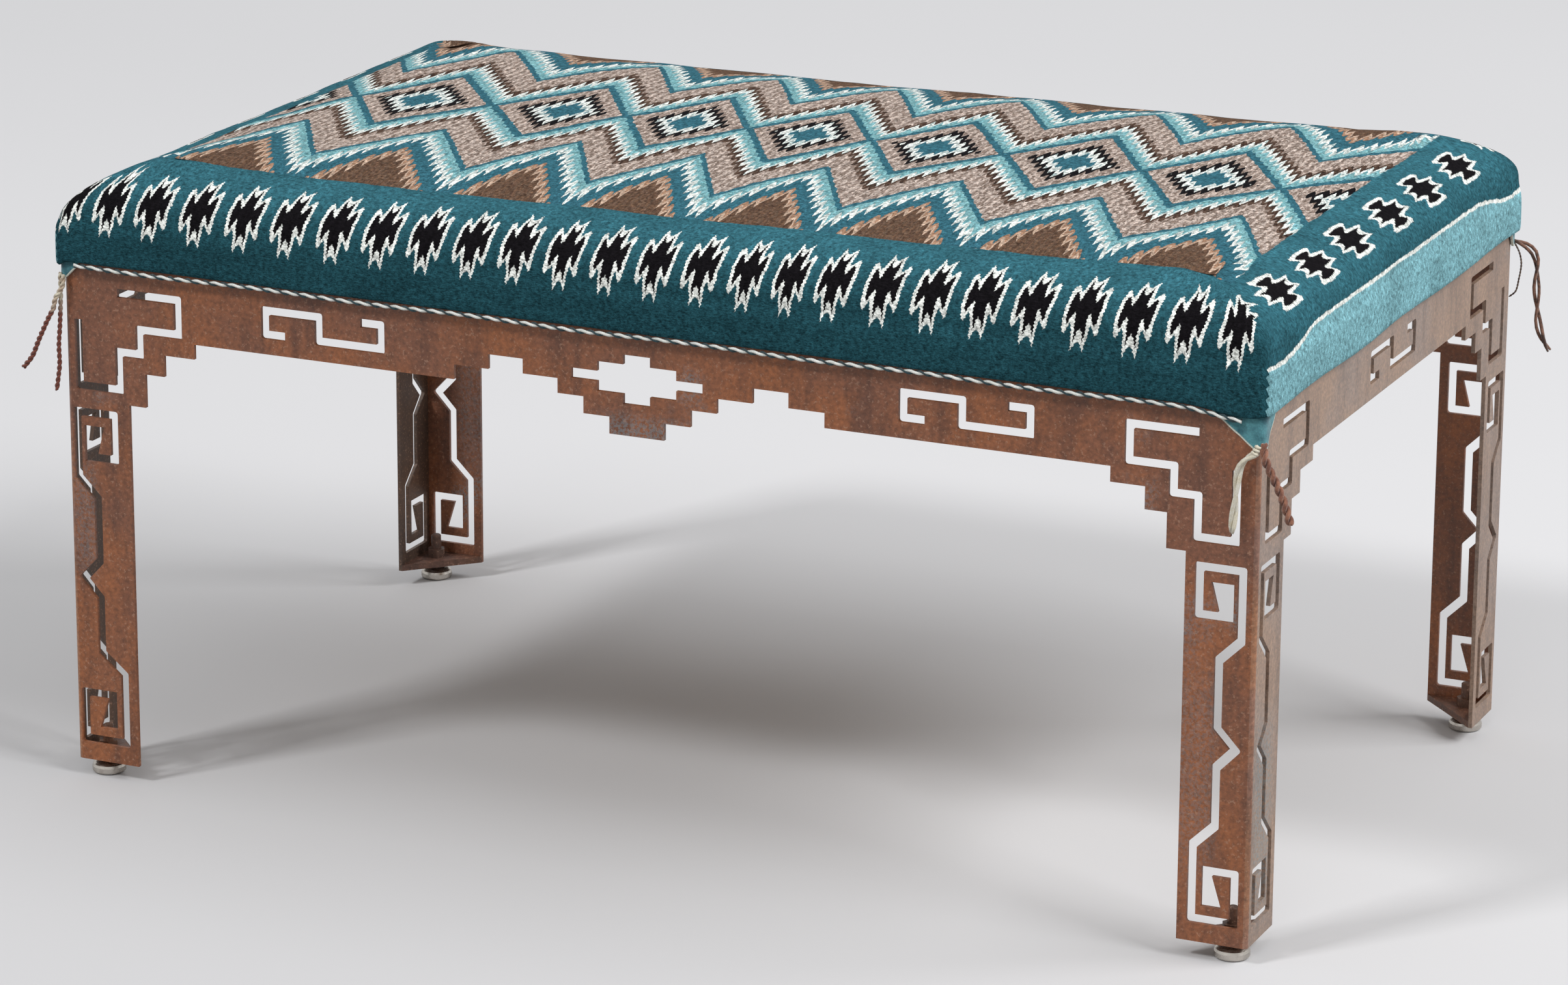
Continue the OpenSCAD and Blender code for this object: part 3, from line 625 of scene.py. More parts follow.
    def bands(self, turquoise: Colour, white: Colour, taupe: Colour, brown: Colour,
              earth: Colour) -> List[Tuple[float, Colour]]:
        """Colours by distance from a diamond's centre.

        Args:
            turquoise: Colour of the lighter bands.
            white: Colour of the toothed lines.
            taupe: Colour of the wide bands.
            brown: Colour of the zigzag lines between them.
            earth: Colour of the triangles.

        Returns:
            Places on the ramp and their colours.
        """
        rows = [(0, self.ground), (25, white), (41, self.black), (56, taupe), (80, self.ground),
                (92, turquoise), (108, white), (123, brown), (138, taupe), (181, self.ground),
                (191, turquoise), (208, white), (224, self.ground), (255, self.tan),
                (265, self.sand), (275, earth)]
        return [(at / self.reach, colour) for at, colour in rows]

    def shades(self, g: Graph, away: object, wave: object, flow: object) -> Socket:
        """Colours the field, with lighter and darker strokes along the rows of the weave.

        Args:
            g: The material's nodes.
            away: Share of the ramp's reach at which a point lies.
            wave: Place in a tooth, 0 to 1 and back.
            flow: Coordinates stretched along the strokes.

        Returns:
            The colour.
        """
        pale = g.span(g.grain(flow, 1.0, 1, 0.5), 0.46, 0.58)
        dark = g.span(g.grain(flow, 1.2, 1, 0.5, 3.0), 0.54, 0.63)
        pale = g.sum("MAXIMUM", pale, g.sum("MULTIPLY", g.span(wave, 0.14, 0.32, 1.0, 0.0), 0.8))
        # Darker wool between the woven strokes at each tooth: partly the yarn's darker colour,
        # partly painted shade in the gaps between the strokes.
        comb_and_gap_shade = g.sum("MULTIPLY", g.span(wave, 0.62, 0.8), 0.4)
        plain, light, deeper = [g.ramp(away, self.bands(*wool), True) for wool in (
            (self.turquoise, self.white, self.taupe, self.brown, self.earth),
            (self.band, self.white, self.pink, self.umber, self.umber),
            (self.lagoon, self.smoke, self.umber, self.black, self.brown))]
        colour = g.blend(g.sum("MULTIPLY", pale, 0.8), plain, light)
        colour = g.blend(g.sum("MAXIMUM", comb_and_gap_shade, g.sum("MULTIPLY", dark, 0.75)), colour, deeper)
        tone = g.span(g.grain(flow, 1.5, 2, 0.6, 6.0), 0.34, 0.66, 0.74, 1.26, False)
        return g.tint(tone, colour)

    def field(self, g: Graph, u: object, v: object) -> Tuple[object, object]:
        """The middle field.

        Args:
            g: The material's nodes.
            u: Place along the bench.
            v: Place across it.

        Returns:
            Its colour, and the share of the cloth that it covers.
        """
        lean = g.sum("SUBTRACT", self.skew, g.sum("MULTIPLY", u, self.skew_loss))
        past = g.sum("SUBTRACT", v, self.middle)
        along = g.sum("MULTIPLY_ADD", past, lean, u)
        marks = [(place, float(number)) for number, place in enumerate(self.centres)]
        off = g.sum("MULTIPLY", self.counted(g, along, marks), 2.0)
        deep = g.sum("ABSOLUTE", past)
        away = g.sum("DIVIDE", g.sum("ADD", deep, g.sum("MULTIPLY", off, self.rise)),
                     g.sum("SUBTRACT", 1.0, g.sum("MULTIPLY", off, self.flare)))
        half = self.tooth / 2
        wave = g.sum("PINGPONG", g.sum("ADD", u, self.tooth_start), half)
        wave = g.sum("DIVIDE", wave, half)
        teeth = g.sum("MULTIPLY", g.sum("SUBTRACT", wave, 0.5), 2 * self.tooth_reach)
        stops = [(at / self.reach, (share,) * 3) for at, share in self.tooth_share]
        share = g.ramp(g.sum("DIVIDE", away, self.reach), stops)
        away = g.sum("ADD", away, g.sum("MULTIPLY", teeth, share))
        flow = g.add("CombineXYZ", {0: g.sum("MULTIPLY", u, self.stroke[0]),
                                    1: g.sum("MULTIPLY", v, self.stroke[1])})
        colour = self.shades(g, g.sum("DIVIDE", away, self.reach), wave, flow.outputs[0])
        wide = g.sum("ABSOLUTE", u)
        side = g.span(deep, *self.corner_v, 0.0, self.corner_out[0], False)
        side = g.sum("ADD", self.field_half, side)
        low = g.span(wide, *self.corner_u, 0.0, self.corner_out[1], False)
        low = g.sum("ADD", self.field_depth, low)
        return colour, g.sum("MULTIPLY", self.above(g, side, wide), self.above(g, low, deep))

    def crosses(self, g: Graph, u: object, v: object) -> Tuple[object, object]:
        """The crosses of the border: a row along each side and a column at each end.

        Args:
            g: The material's nodes.
            u: Place along the bench.
            v: Place across it.

        Returns:
            Depth inside a cross's white edge and inside its black heart, in millimetres.
        """
        wide, deep = g.sum("ABSOLUTE", u), g.sum("ABSOLUTE", v)
        lean = g.sum("MULTIPLY", u, self.cross_lean / self.lean_reach)
        lean = g.sum("ADD", self.cross_lean, lean)
        along = g.sum("MULTIPLY_ADD", g.sum("SUBTRACT", deep, self.cross_row), lean, u)
        row_off = g.sum("MULTIPLY", self.counted(g, along, self.row_marks), self.cross_pitch)
        row_away = g.sum("ABSOLUTE", g.sum("SUBTRACT", deep, self.cross_row))
        column_off = g.sum("DIVIDE", g.sum("ABSOLUTE", g.sum("SUBTRACT", wide, self.cross_column)),
                           self.column_scale)
        column_away = g.sum("MULTIPLY", self.counted(g, v, self.column_marks), self.column_pitch)
        row = g.sum("GREATER_THAN", deep, self.row_from)
        off = g.add("Mix", {0: row, 2: column_off, 3: row_off}).outputs[0]
        away = g.add("Mix", {0: row, 2: column_away, 3: row_away}).outputs[0]
        stitch = g.sum("DIVIDE", g.sum("PINGPONG", v, self.stitch), self.stitch)
        stitch = g.sum("MULTIPLY", g.sum("SUBTRACT", stitch, 0.5), self.stitch_reach)
        off = g.sum("ADD", off, stitch)
        outside = g.sum("MULTIPLY", self.above(g, off, self.cross_side, 0.1), 60.0)
        found = []
        for profile in (self.cross_edge, self.cross_heart):
            stops = [(at / self.cross_half, (tall / self.cross_tall,) * 3) for at, tall in profile]
            tall = g.ramp(g.sum("DIVIDE", off, self.cross_half), stops + [(1.0, (0.0,) * 3)])
            depth = g.sum("SUBTRACT", g.sum("MULTIPLY", tall, self.cross_tall), away)
            found.append(g.sum("SUBTRACT", depth, outside))
        return found[0], found[1]

    def build(self) -> Material:
        """Makes the material.

        Returns:
            The material.
        """
        g = Graph(self.name)
        cloth = g.add("UVMap", {}, uv_map="weave").outputs[0]
        flat = g.add("VectorMath", {0: cloth, 1: Vector((1000, 1000, 0))},
                     operation="MULTIPLY").outputs[0]
        parts = g.add("SeparateXYZ", {0: flat})
        u, v = parts.outputs[0], parts.outputs[1]
        for scale, reach in self.wander:
            shift = g.add("TexNoise", {"Vector": flat, "Scale": scale, "Detail": 1.0},
                          noise_dimensions="3D").outputs[1]
            wander = g.add("SeparateXYZ", {0: shift})
            away = [g.sum("SUBTRACT", wander.outputs[axis], 0.5) for axis in (0, 1)]
            u = g.sum("MULTIPLY_ADD", away[0], reach, u)
            v = g.sum("MULTIPLY_ADD", away[1], reach, v)
        wide, deep = g.sum("ABSOLUTE", u), g.sum("ABSOLUTE", v)
        # The cover's top is painted lighter than its walls: painted highlight standing in for the
        # wool's sheen.
        over = g.sum("MAXIMUM", g.sum("SUBTRACT", wide, self.top_light_half),
                     g.sum("SUBTRACT", deep, self.top_light_depth))
        wool = g.blend(g.span(over, *self.fade, 1.0, 0.0), self.teal, self.top_painted_light)
        uneven = g.grain(flat, self.dye_scale, 3, 0.6, 4.0)
        uneven = g.span(uneven, 0.35, 0.65, 0.86, 1.14, False)
        pattern, inside = self.field(g, u, v)
        colour = g.blend(inside, g.tint(uneven, wool), pattern)
        edge, heart = self.crosses(g, u, v)
        colour = g.blend(self.above(g, edge, 0.0, 0.5), colour, self.white)
        colour = g.blend(self.above(g, heart, 0.0, 0.5), colour, self.black)
        start = g.sum("ADD", self.band_start, g.span(deep, *self.band_corner, 0.0, self.band_out))
        past = g.sum("SUBTRACT", wide, start)
        colour = g.blend(self.above(g, past, -self.band_line), colour, self.white)
        colour = g.blend(self.above(g, past, 0.0), colour, g.tint(uneven, self.band))
        fibre = g.grain(flat, self.fibre_scale, 3, 0.8, 1.0)
        rows = g.grain(g.stretched(flat, self.row_scale), 1.0, 2, 0.6, 2.0)
        mixed = g.sum("ADD", g.sum("MULTIPLY", fibre, 0.6), g.sum("MULTIPLY", rows, 0.4))
        clumps = g.grain(flat, self.clump_scale, 2, 0.6, 7.0)
        clumps = g.span(clumps, 0.36, 0.64, 0.8, 1.2, False)
        strands = g.span(mixed, 0.38, 0.62, 0.46, 1.54, False)
        g.set(Base_Color=g.tint(g.sum("MULTIPLY", clumps, strands), colour), Roughness=1.0,
              Specular_IOR_Level=0.05)
        g.bump(mixed, 0.003, 1.0)
        return g.material


@dataclass(frozen=True)
class StudioPaper:
    """Pale grey studio paper that the object's shadow falls on, painted darker towards the front as
    painted shade.
    """

    name: str = "studio_paper"
    seen: Colour = linear(214, 214, 216)
    bounced: Colour = linear(164, 163, 162)
    # Where and how far the paper is painted darker towards the front: painted shade.
    front_shade_y: Tuple[float, float] = (-0.9, 0.3)
    front_painted_shade: float = 0.87

    def build(self) -> Material:
        """Makes the material, which the camera sees paler than the object does.

        Returns:
            The material.
        """
        g = Graph(self.name)
        rays = g.add("LightPath", {})
        direct = g.sum("MAXIMUM", rays.outputs["Is Camera Ray"], rays.outputs["Is Glossy Ray"])
        cloud = g.span(g.grain(g.object_place(), 0.6, 2, 0.5), 0.3, 0.7, 0.98, 1.02, False)
        # The paper is painted darker towards the front: painted shade standing in for the lamps'
        # falloff.
        depth = g.add("SeparateXYZ", {0: g.object_place()}).outputs[1]
        cloud = g.sum("MULTIPLY", cloud, g.span(depth, *self.front_shade_y, self.front_painted_shade, 1.0))
        g.set(Base_Color=g.tint(cloud, g.blend(direct, self.bounced, self.seen)), Roughness=1.0,
              Specular_IOR_Level=0.0)
        return g.material


@dataclass(frozen=True)
class SteelBox:
    """Top of the steel frame, as in the part's source, which cloth and cords hang from."""

    half_l: float = 0.457
    half_d: float = 0.274
    top: float = 0.396
    weld_r: float = 0.003


STEEL = SteelBox()
# Where along the front the hem starts to droop towards the right corner, and where it is lowest
DROOP = (0.40, 0.45)


def finished(name: str, mesh: Mesh, material: Material) -> Piece:
    """Turns a bmesh into an object at the origin.

    Args:
        name: Name of the piece.
        mesh: The bmesh, which is freed.
        material: Its material.

    Returns:
        The object.
    """
    data = bpy.data.meshes.new(name)
    for face in mesh.faces:
        face.smooth = True
    mesh.to_mesh(data)
    mesh.free()
    data.materials.append(material)
    piece = bpy.data.objects.new(name, data)
    bpy.context.scene.collection.objects.link(piece)
    return piece


def dress(names: Sequence[str], material: Material) -> None:
    """Gives CAD nodes a material.

    Args:
        names: The nodes.
        material: The material.
    """
    for name in names:
        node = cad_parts[name]
        node.data.materials.clear()
        node.data.materials.append(material)


def eased(value: float, low: float, high: float) -> float:
    """Smooth step of a value between two limits."""
    share = min(1.0, max(0.0, (value - low) / (high - low)))
    return share * share * (3 - 2 * share)


@dataclass
class SteelFrame:
    """Four pierced plates, their welds, foot plates and the brackets under the seat."""

    # Patches of verdigris: centre, half widths and amount
    spots: Tuple[Tuple[float, ...], ...] = (
        (0.417, -0.274, 0.135, 0.018, 0.01, 0.085, 0.22),
        (0.01, -0.274, 0.312, 0.045, 0.01, 0.022, 0.45),
        (-0.445, -0.274, 0.20, 0.012, 0.01, 0.05, 0.25),
        (-0.41, 0.274, 0.16, 0.02, 0.01, 0.09, 0.2),
        (0.457, -0.25, 0.1, 0.01, 0.02, 0.08, 0.5),
    )

    def plates(self) -> None:
        """Dresses the plates, each with its own run of the patina: the right end's is painted
        lighter and greyer as painted light and sheen, the left end's darker as painted shade.
        """
        dress(["front_panel", "back_panel"], PatinaSteel(spots=self.spots).build())
        # Lighter, greyer copy of the patina on the right end plate: painted light and painted sheen
        # on the face turned to the lamps.
        right = PatinaSteel(name="patina_steel_right_painted_light", brown=linear(145, 127, 117),
                            rust=linear(154, 128, 110), dark=linear(110, 94, 85), spots=self.spots)
        dress(["right_panel"], right.build())
        # Darker copy of the patina on the left end plate, whose seen faces look inwards: painted
        # shade.
        left = PatinaSteel(name="patina_steel_left_painted_shade", brown=linear(88, 71, 61),
                           rust=linear(98, 73, 57), dark=linear(62, 48, 41), spots=self.spots)
        dress(["left_panel"], left.build())

    def small_steel(self) -> None:
        """Dresses the welds, the foot plates and what carries the seat."""
        weld = PatinaSteel(name="ground_weld", brown=linear(140, 104, 90),
                           rust=linear(160, 112, 82))
        dress(["corner_welds"], weld.build())
        # Darker, greyer copy of the patina for the brackets under the seat and the foot plates:
        # painted shade.
        inner = PatinaSteel(name="inner_steel_painted_shade", brown=linear(104, 76, 66), rust=linear(118, 80, 60),
                            dark=linear(66, 48, 42))
        names = [f"{kind}_{corner.title}" for corner in Corner
                 for kind in ("foot_plate", "seat_gusset")]
        dress(names + ["seat_lug_front", "seat_lug_back"], inner.build())

    def hardware(self) -> None:
        """Dresses nuts, screws, washers and studs."""
        zinc = BrightMetal("zinc_plating", linear(176, 176, 172), 0.36).build()
        dress(["seat_screws", "screw_washers"], zinc)
        aged = PatinaSteel(name="aged_thread", brown=linear(92, 68, 58), rust=linear(104, 72, 54),
                           dark=linear(52, 40, 36))
        dress(["foot_nuts"] + [f"glide_stud_{corner.title}" for corner in Corner], aged.build())

    def build(self) -> None:
        """Dresses every steel piece of the frame."""
        self.plates()
        self.small_steel()
        self.hardware()
        LOG.info("steel frame: plates, welds, brackets and hardware dressed")


@dataclass
class LevellingGlides:
    """The four glides that screw in and out of the legs."""

    def build(self) -> None:
        """Dresses the cups and pads."""
        nickel = BrightMetal("nickel_plating").build()
        dress([f"glide_base_{corner.title}" for corner in Corner], nickel)
        dress([f"glide_pad_{corner.title}" for corner in Corner], NylonPad().build())
        LOG.info("glides: cups in nickel, pads in nylon")


@dataclass
class WovenSeat:
    """The blanket over the foam, as one padded form that follows the CAD cover's shape."""

    # The cover's half length and half depth, its shoulder, its crown and the lean of its top
    half_l: float = 0.464
    half_d: float = 0.281
    side_z: float = 0.427
    shoulder_h: float = 0.035
    shoulder_w: float = 0.058
    crown: float = 0.006
    lean: float = 0.0045
    draw: float = 0.002
    corner_r: float = 0.008
    long_hem: float = 0.392
    short_hem: float = 0.389
    deck_top: float = 0.4083
    cloth: float = 0.003
    # Cells of the flat cloth: along and across its top, and down each side
    columns: int = 130
    rows: int = 72
    drops: int = 18
    swell: float = 0.0035
    # The hem's turn from the long sides to the ends, its droop and its ripple
    hem_turn: Tuple[float, float] = (0.012, 0.002)
    droop: float = 0.005
    ripple: float = 0.0009
    ripple_rate: float = 31
    ripple_start: float = 1.3
    # The pleat down each corner, and the slight waves of the walls
    pleat_z: Tuple[float, float] = (0.424, 0.436)
    pleat_reach: float = 0.02
    pleat_sink: float = 0.0022
    waves: Marks = ((16, 0.0009), (55, 0.00035))
    top_z: Tuple[float, float] = (0.43, 0.46)
    # The short simulation in which the foam presses the cloth out
    held_z: Tuple[float, float] = (0.412, 0.43)
    moments: int = 20
    wool: Dict[str, object] = field(default_factory=lambda: {
        "quality": 6, "mass": 0.3, "tension_stiffness": 20, "compression_stiffness": 20,
        "shear_stiffness": 8, "bending_stiffness": 1.5, "use_pressure": True,
        "uniform_pressure_force": 4})
    arc: float = field(init=False)
    drop: float = field(init=False)
    lookup: List[Place] = field(init=False, default_factory=list)

    def __post_init__(self) -> None:
        """Measures the shoulder's profile once, by the length of cloth along it."""
        run, last = 0.0, (0.0, self.shoulder_h)
        for step in range(91):
            angle = math.radians(90 - step)
            here = (self.shoulder_w * math.cos(angle), self.shoulder_h * math.sin(angle))
            run += math.dist(here, last)
            self.lookup.append((run, here[0], here[1]))
            last = here
        self.arc = run
        self.drop = run + self.side_z - self.long_hem

    def profile(self, run: float) -> Tuple[float, float]:
        """Place on the profile at a length of cloth from the flat top's edge.

        Args:
            run: The length.

        Returns:
            How far out it is, and its height above side_z, less the wall's drop.
        """
        if run >= self.arc:
            return self.shoulder_w, -(run - self.arc)
        for (a, x0, z0), (b, x1, z1) in zip(self.lookup, self.lookup[1:]):
            if run <= b:
                share = (run - a) / max(b - a, 1e-9)
                return x0 + (x1 - x0) * share, z0 + (z1 - z0) * share
        return self.shoulder_w, 0.0

    def hem(self, x: float, y: float) -> float:
        """Height of the hem at a place on it.

        Args:
            x: Place along the bench.
            y: Place across it.

        Returns:
            The height, which is lower at the ends and droops at the front-right corner.
        """
        ends = eased(abs(x), *(self.half_l - turn for turn in self.hem_turn))
        height = self.long_hem + (self.short_hem - self.long_hem) * ends
        if y < 0:
            height -= self.droop * eased(x, *DROOP) * (1 - ends)
        return height + self.ripple * math.sin(self.ripple_rate * y + self.ripple_start) * ends

    def placed(self, s: float, t: float) -> Tuple[Vector, Tuple[float, float]]:
        """Lays a point of the flat cloth on the seat.

        Args:
            s: Place along the flat cloth.
            t: Place across it.

        Returns:
            Its place on the seat, and that place before the corners are rounded.
        """
        flat_x, flat_y = self.half_l - self.shoulder_w, self.half_d - self.shoulder_w
        past_x, past_y = abs(s) - flat_x, abs(t) - flat_y
        run = max(past_x, past_y, 0.0)
        if run == 0.0:
            reach = max(abs(s) / flat_x, abs(t) / flat_y)
            z = self.side_z + self.shoulder_h + self.crown * (1 - reach ** 3)
            return Vector((s, t, z + self.lean * s / STEEL.half_l)), (s, t)
        out, high = self.profile(run)
        x = abs(s) if past_x <= 0 else flat_x + out * past_x / run
        y = abs(t) if past_y <= 0 else flat_y + out * past_y / run
        square = (math.copysign(x, s), math.copysign(y, t))
        radius = self.corner_r + self.shoulder_w - out
        over_x, over_y = x - (flat_x + out - radius), y - (flat_y + out - radius)
        if over_x > 0 and over_y > 0:
            longest, length = max(over_x, over_y), math.hypot(over_x, over_y)
            x += over_x * (longest / length - 1)
            y += over_y * (longest / length - 1)
        pull = self.draw * math.sin(min(1.0, max(0.0, high) / self.shoulder_h) * math.pi / 2)
        if past_y > past_x:
            y -= pull * (1 - (x / (flat_x + out)) ** 2)
        else:
            x -= pull * (1 - (y / (flat_y + out)) ** 2)
        x, y = math.copysign(x, s), math.copysign(y, t)
        if run > self.arc:
            share = (run - self.arc) / (self.drop - self.arc)
            z = self.side_z + (self.hem(*square) - self.side_z) * share
            z += self.lean * x / STEEL.half_l * (1 - share)
        else:
            z = self.side_z + high + self.lean * x / STEEL.half_l
        return Vector((x, y, z)), square

    def side_of(self, s: float, t: float) -> Side:
        """Finds which run of cloth a point belongs to; the corners are mitred.

        Args:
            s: Place along the flat cloth.
            t: Place across it.

        Returns:
            The run.
        """
        past_x = abs(s) - self.half_l + self.shoulder_w
        past_y = abs(t) - self.half_d + self.shoulder_w
        return Side.SHORT if past_x > max(past_y, 0.0) + 1e-6 else Side.LONG

    def pleat(self, place: Vector) -> Vector:
        """Sinks the cloth into the pleat down each corner, and gives its walls a slight wave.

        Args:
            place: A point of the cover.

        Returns:
            The moved point.
        """
        away = abs((self.half_l - abs(place.x)) - (self.half_d - abs(place.y)))
        low = 1 - eased(place.z, *self.pleat_z)
        far = math.hypot(self.half_l - abs(place.x), self.half_d - abs(place.y))
        if far < self.pleat_reach and low > 0:
            sink = self.pleat_sink * low * math.exp(-(away / self.pleat_sink) ** 2)
            place.x -= math.copysign(sink, place.x)
            place.y -= math.copysign(sink, place.y)
        wave = sum(noise.noise(place * rate) * height for rate, height in self.waves)
        top = eased(place.z, *self.top_z)
        out = Vector((place.x / self.half_l, place.y / self.half_d, 0)) * (1 - top)
        return place + (out + Vector((0, 0, top))).normalized() * wave

    def shell(self) -> Mesh:
        """Folds a flat grid of cloth over the seat, with its map.

        Returns:
            The folded cloth, open below.
        """
        width, depth = 2 * (self.half_l - self.shoulder_w), 2 * (self.half_d - self.shoulder_w)
        mesh = bmesh.new()
        bmesh.ops.create_grid(mesh, x_segments=self.columns + 2 * self.drops,
                              y_segments=self.rows + 2 * self.drops, size=0.5)
        weave = mesh.loops.layers.uv.new("weave")

        def stretched(part: float, cells: int, flat: float) -> float:
            """Finds the place on the cloth for a place on the unit grid.

            Args:
                part: Place on the grid, -0.5 to 0.5.
                cells: Cells across the flat top.
                flat: Width of the flat top.

            Returns:
                The place.
            """
            cell = abs(part) * (cells + 2 * self.drops)
            length = cell * flat / cells if cell <= cells / 2 else \
                flat / 2 + (cell - cells / 2) * self.drop / self.drops
            return math.copysign(length, part)

        flat_places: Dict[int, Tuple[float, float]] = {}
        squares: Dict[int, Tuple[float, float]] = {}
        for vertex in mesh.verts:
            s = stretched(vertex.co.x, self.columns, width)
            t = stretched(vertex.co.y, self.rows, depth)
            flat_places[vertex.index] = (s, t)
            vertex.co, squares[vertex.index] = self.placed(s, t)
        for face in mesh.faces:
            spots = [flat_places[vertex.index] for vertex in face.verts]
            middle = (sum(spot[0] for spot in spots) / 4, sum(spot[1] for spot in spots) / 4)
            side = self.side_of(*middle)
            for loop in face.loops:
                s, t = flat_places[loop.vert.index]
                x, y = squares[loop.vert.index]
                loop[weave].uv = (x, t) if side is Side.LONG else (s, y)
        for vertex in mesh.verts:
            vertex.co = self.pleat(vertex.co)
        return mesh

    def closed(self, mesh: Mesh) -> None:
        """Turns the hem in, and closes the form over the deck.

        Args:
            mesh: The folded cloth.
        """
        inner = Vector(((self.half_l - self.cloth) / self.half_l,
                        (self.half_d - self.cloth) / self.half_d, 1))
        edges = [edge for edge in mesh.edges if edge.is_boundary]
        for turned_in in (False, True):
            made = bmesh.ops.extrude_edge_only(mesh, edges=edges)["geom"]
            points = [part for part in made if isinstance(part, bmesh.types.BMVert)]
            edges = [part for part in made
                     if isinstance(part, bmesh.types.BMEdge) and part.is_boundary]
            if not turned_in:
                bmesh.ops.scale(mesh, vec=inner, verts=points)
            else:
                for point in points:
                    point.co.z = self.deck_top
        bmesh.ops.holes_fill(mesh, edges=edges, sides=0)
        bmesh.ops.triangulate(mesh, faces=[face for face in mesh.faces if len(face.verts) > 4])
        bmesh.ops.recalc_face_normals(mesh, faces=mesh.faces)

    def swollen(self, piece: Piece) -> None:
        """Lets the foam press the cloth out in a short simulation, and keeps its result.

        Args:
            piece: The closed cover.
        """
        start = [vertex.co.copy() for vertex in piece.data.vertices]
        held = piece.vertex_groups.new(name="held")
        for vertex in piece.data.vertices:
            held.add([vertex.index], 1 - eased(vertex.co.z, *self.held_z), "REPLACE")
        cloth = piece.modifiers.new("cloth", "CLOTH")
        for key, value in self.wool.items():
            setattr(cloth.settings, key, value)
        cloth.settings.effector_weights.gravity = 0
        cloth.settings.vertex_group_mass = "held"
        scene = bpy.context.scene
        for moment in range(self.moments):
            scene.frame_set(moment + 1)
        shaped = piece.evaluated_get(bpy.context.evaluated_depsgraph_get()).data
        moved = [vertex.co.copy() for vertex in shaped.vertices]
        piece.modifiers.remove(cloth)
        piece.vertex_groups.clear()
        scene.frame_set(1)
        for vertex, before, after in zip(piece.data.vertices, start, moved):
            step = after - before
            if step.length > self.swell:
                step *= self.swell / step.length
            vertex.co = before + step

    def build(self) -> Piece:
        """Makes the covered seat.

        Returns:
            The piece.
        """
        mesh = self.shell()
        self.closed(mesh)
        piece = finished("woven_blanket_seat", mesh, WovenPattern().build())
        self.swollen(piece)
        finer = piece.modifiers.new("finer", "SUBSURF")
        finer.levels = finer.render_levels = 1
        finer.uv_smooth = "PRESERVE_BOUNDARIES"
        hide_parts("woven_cover", "seat_foam")
        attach(piece, "frame")
        dress(["seat_deck"], Plywood().build())
        LOG.info("seat: blanket over foam, %d faces before subdivision", len(piece.data.polygons))
        return piece


def routed(points: Sequence[Vector], step: float) -> List[Vector]:
    """Runs a smooth curve through points.

    Args:
        points: The points.
        step: About how far apart the curve's points are.

    Returns:
        Points along the curve.
    """
    ends = [points[0] * 2 - points[1], *points, points[-1] * 2 - points[-2]]
    route = [points[0].copy()]
    for a, b, c, d in zip(ends, ends[1:], ends[2:], ends[3:]):
        parts = max(1, round((c - b).length / step))
        for part in range(1, parts + 1):
            t = part / parts
            route.append(0.5 * (2 * b + (c - a) * t + (2 * a - 5 * b + 4 * c - d) * t * t
                                + (3 * b - a - 3 * c + d) * t ** 3))
    return route


@dataclass
class TwistedCord:
    """A cord of two or more strands laid around each other along a route."""

    name: str
    route: List[Vector]
    pitch: float
    strands: int = 2
    thick: float = 0.0025
    apart: float = 0.0010
    knot: float = 0.0
    fine: int = 12
    end_share: float = 0.55
    coil_step: float = 0.001
    coil_pitch: float = 0.0024
    coil_r: float = 0.0010
    coil_out: float = 0.0022

    def helix(self, strand: int, offset: float) -> List[Vector]:
        """Line of one strand around the route.

        Args:
            strand: Its number.
            offset: Its distance from the route.

        Returns:
            Its points.
        """
        line, run = [], 0.0
        side = Vector((1, 0, 0))
        dense = routed(self.route, self.pitch / self.fine)
        for number, place in enumerate(dense):
            ahead = dense[min(number + 1, len(dense) - 1)] - dense[max(number - 1, 0)]
            if ahead.length > 0:
                ahead.normalize()
            side = (side - ahead * side.dot(ahead)).normalized()
            if number:
                run += (place - dense[number - 1]).length
            angle = 2 * math.pi * (run / self.pitch + strand / self.strands)
            turned = side * math.cos(angle) + ahead.cross(side) * math.sin(angle)
            line.append(place + turned * offset)
        return line

    def tubes(self, radius: float, offset: float) -> bpy.types.Mesh:
        """Rounds each strand's line into a capped tube, and joins them in one mesh.

        Args:
            radius: Radius of a strand.
            offset: Distance of its line from the route.

        Returns:
            The mesh.
        """
        curve = bpy.data.curves.new(self.name, "CURVE")
        curve.dimensions = "3D"
        curve.bevel_depth = radius
        curve.bevel_resolution = 1
        curve.use_fill_caps = True
        for strand in range(self.strands):
            line = self.helix(strand, offset)
            spline = curve.splines.new("POLY")
            spline.points.add(len(line) - 1)
            for point, place in zip(spline.points, line):
                point.co = (*place, 1.0)
            spline.points[-1].radius = spline.points[0].radius = self.end_share
        holder = bpy.data.objects.new(self.name, curve)
        bpy.context.scene.collection.objects.link(holder)
        bpy.context.view_layer.update()
        graph = bpy.context.evaluated_depsgraph_get()
        mesh = bpy.data.meshes.new_from_object(holder.evaluated_get(graph))
        bpy.data.objects.remove(holder)
        return mesh

    def build(self, material: Material) -> Piece:
        """Makes the cord as one mesh, with a coil around its start where it is knotted.

        Args:
            material: Its yarn.

        Returns:
            The piece.
        """
        mesh = bmesh.new()
        mesh.from_mesh(self.tubes(self.thick / 2, self.apart))
        if self.knot:
            start = routed(self.route, self.coil_step)[:round(self.knot / self.coil_step)]
            coil = TwistedCord(self.name, start, self.coil_pitch, strands=1)
            mesh.from_mesh(coil.tubes(self.coil_r, self.coil_out))
        bmesh.ops.remove_doubles(mesh, verts=mesh.verts, dist=1e-6)
        bmesh.ops.recalc_face_normals(mesh, faces=mesh.faces)
        return finished(self.name, mesh, material)


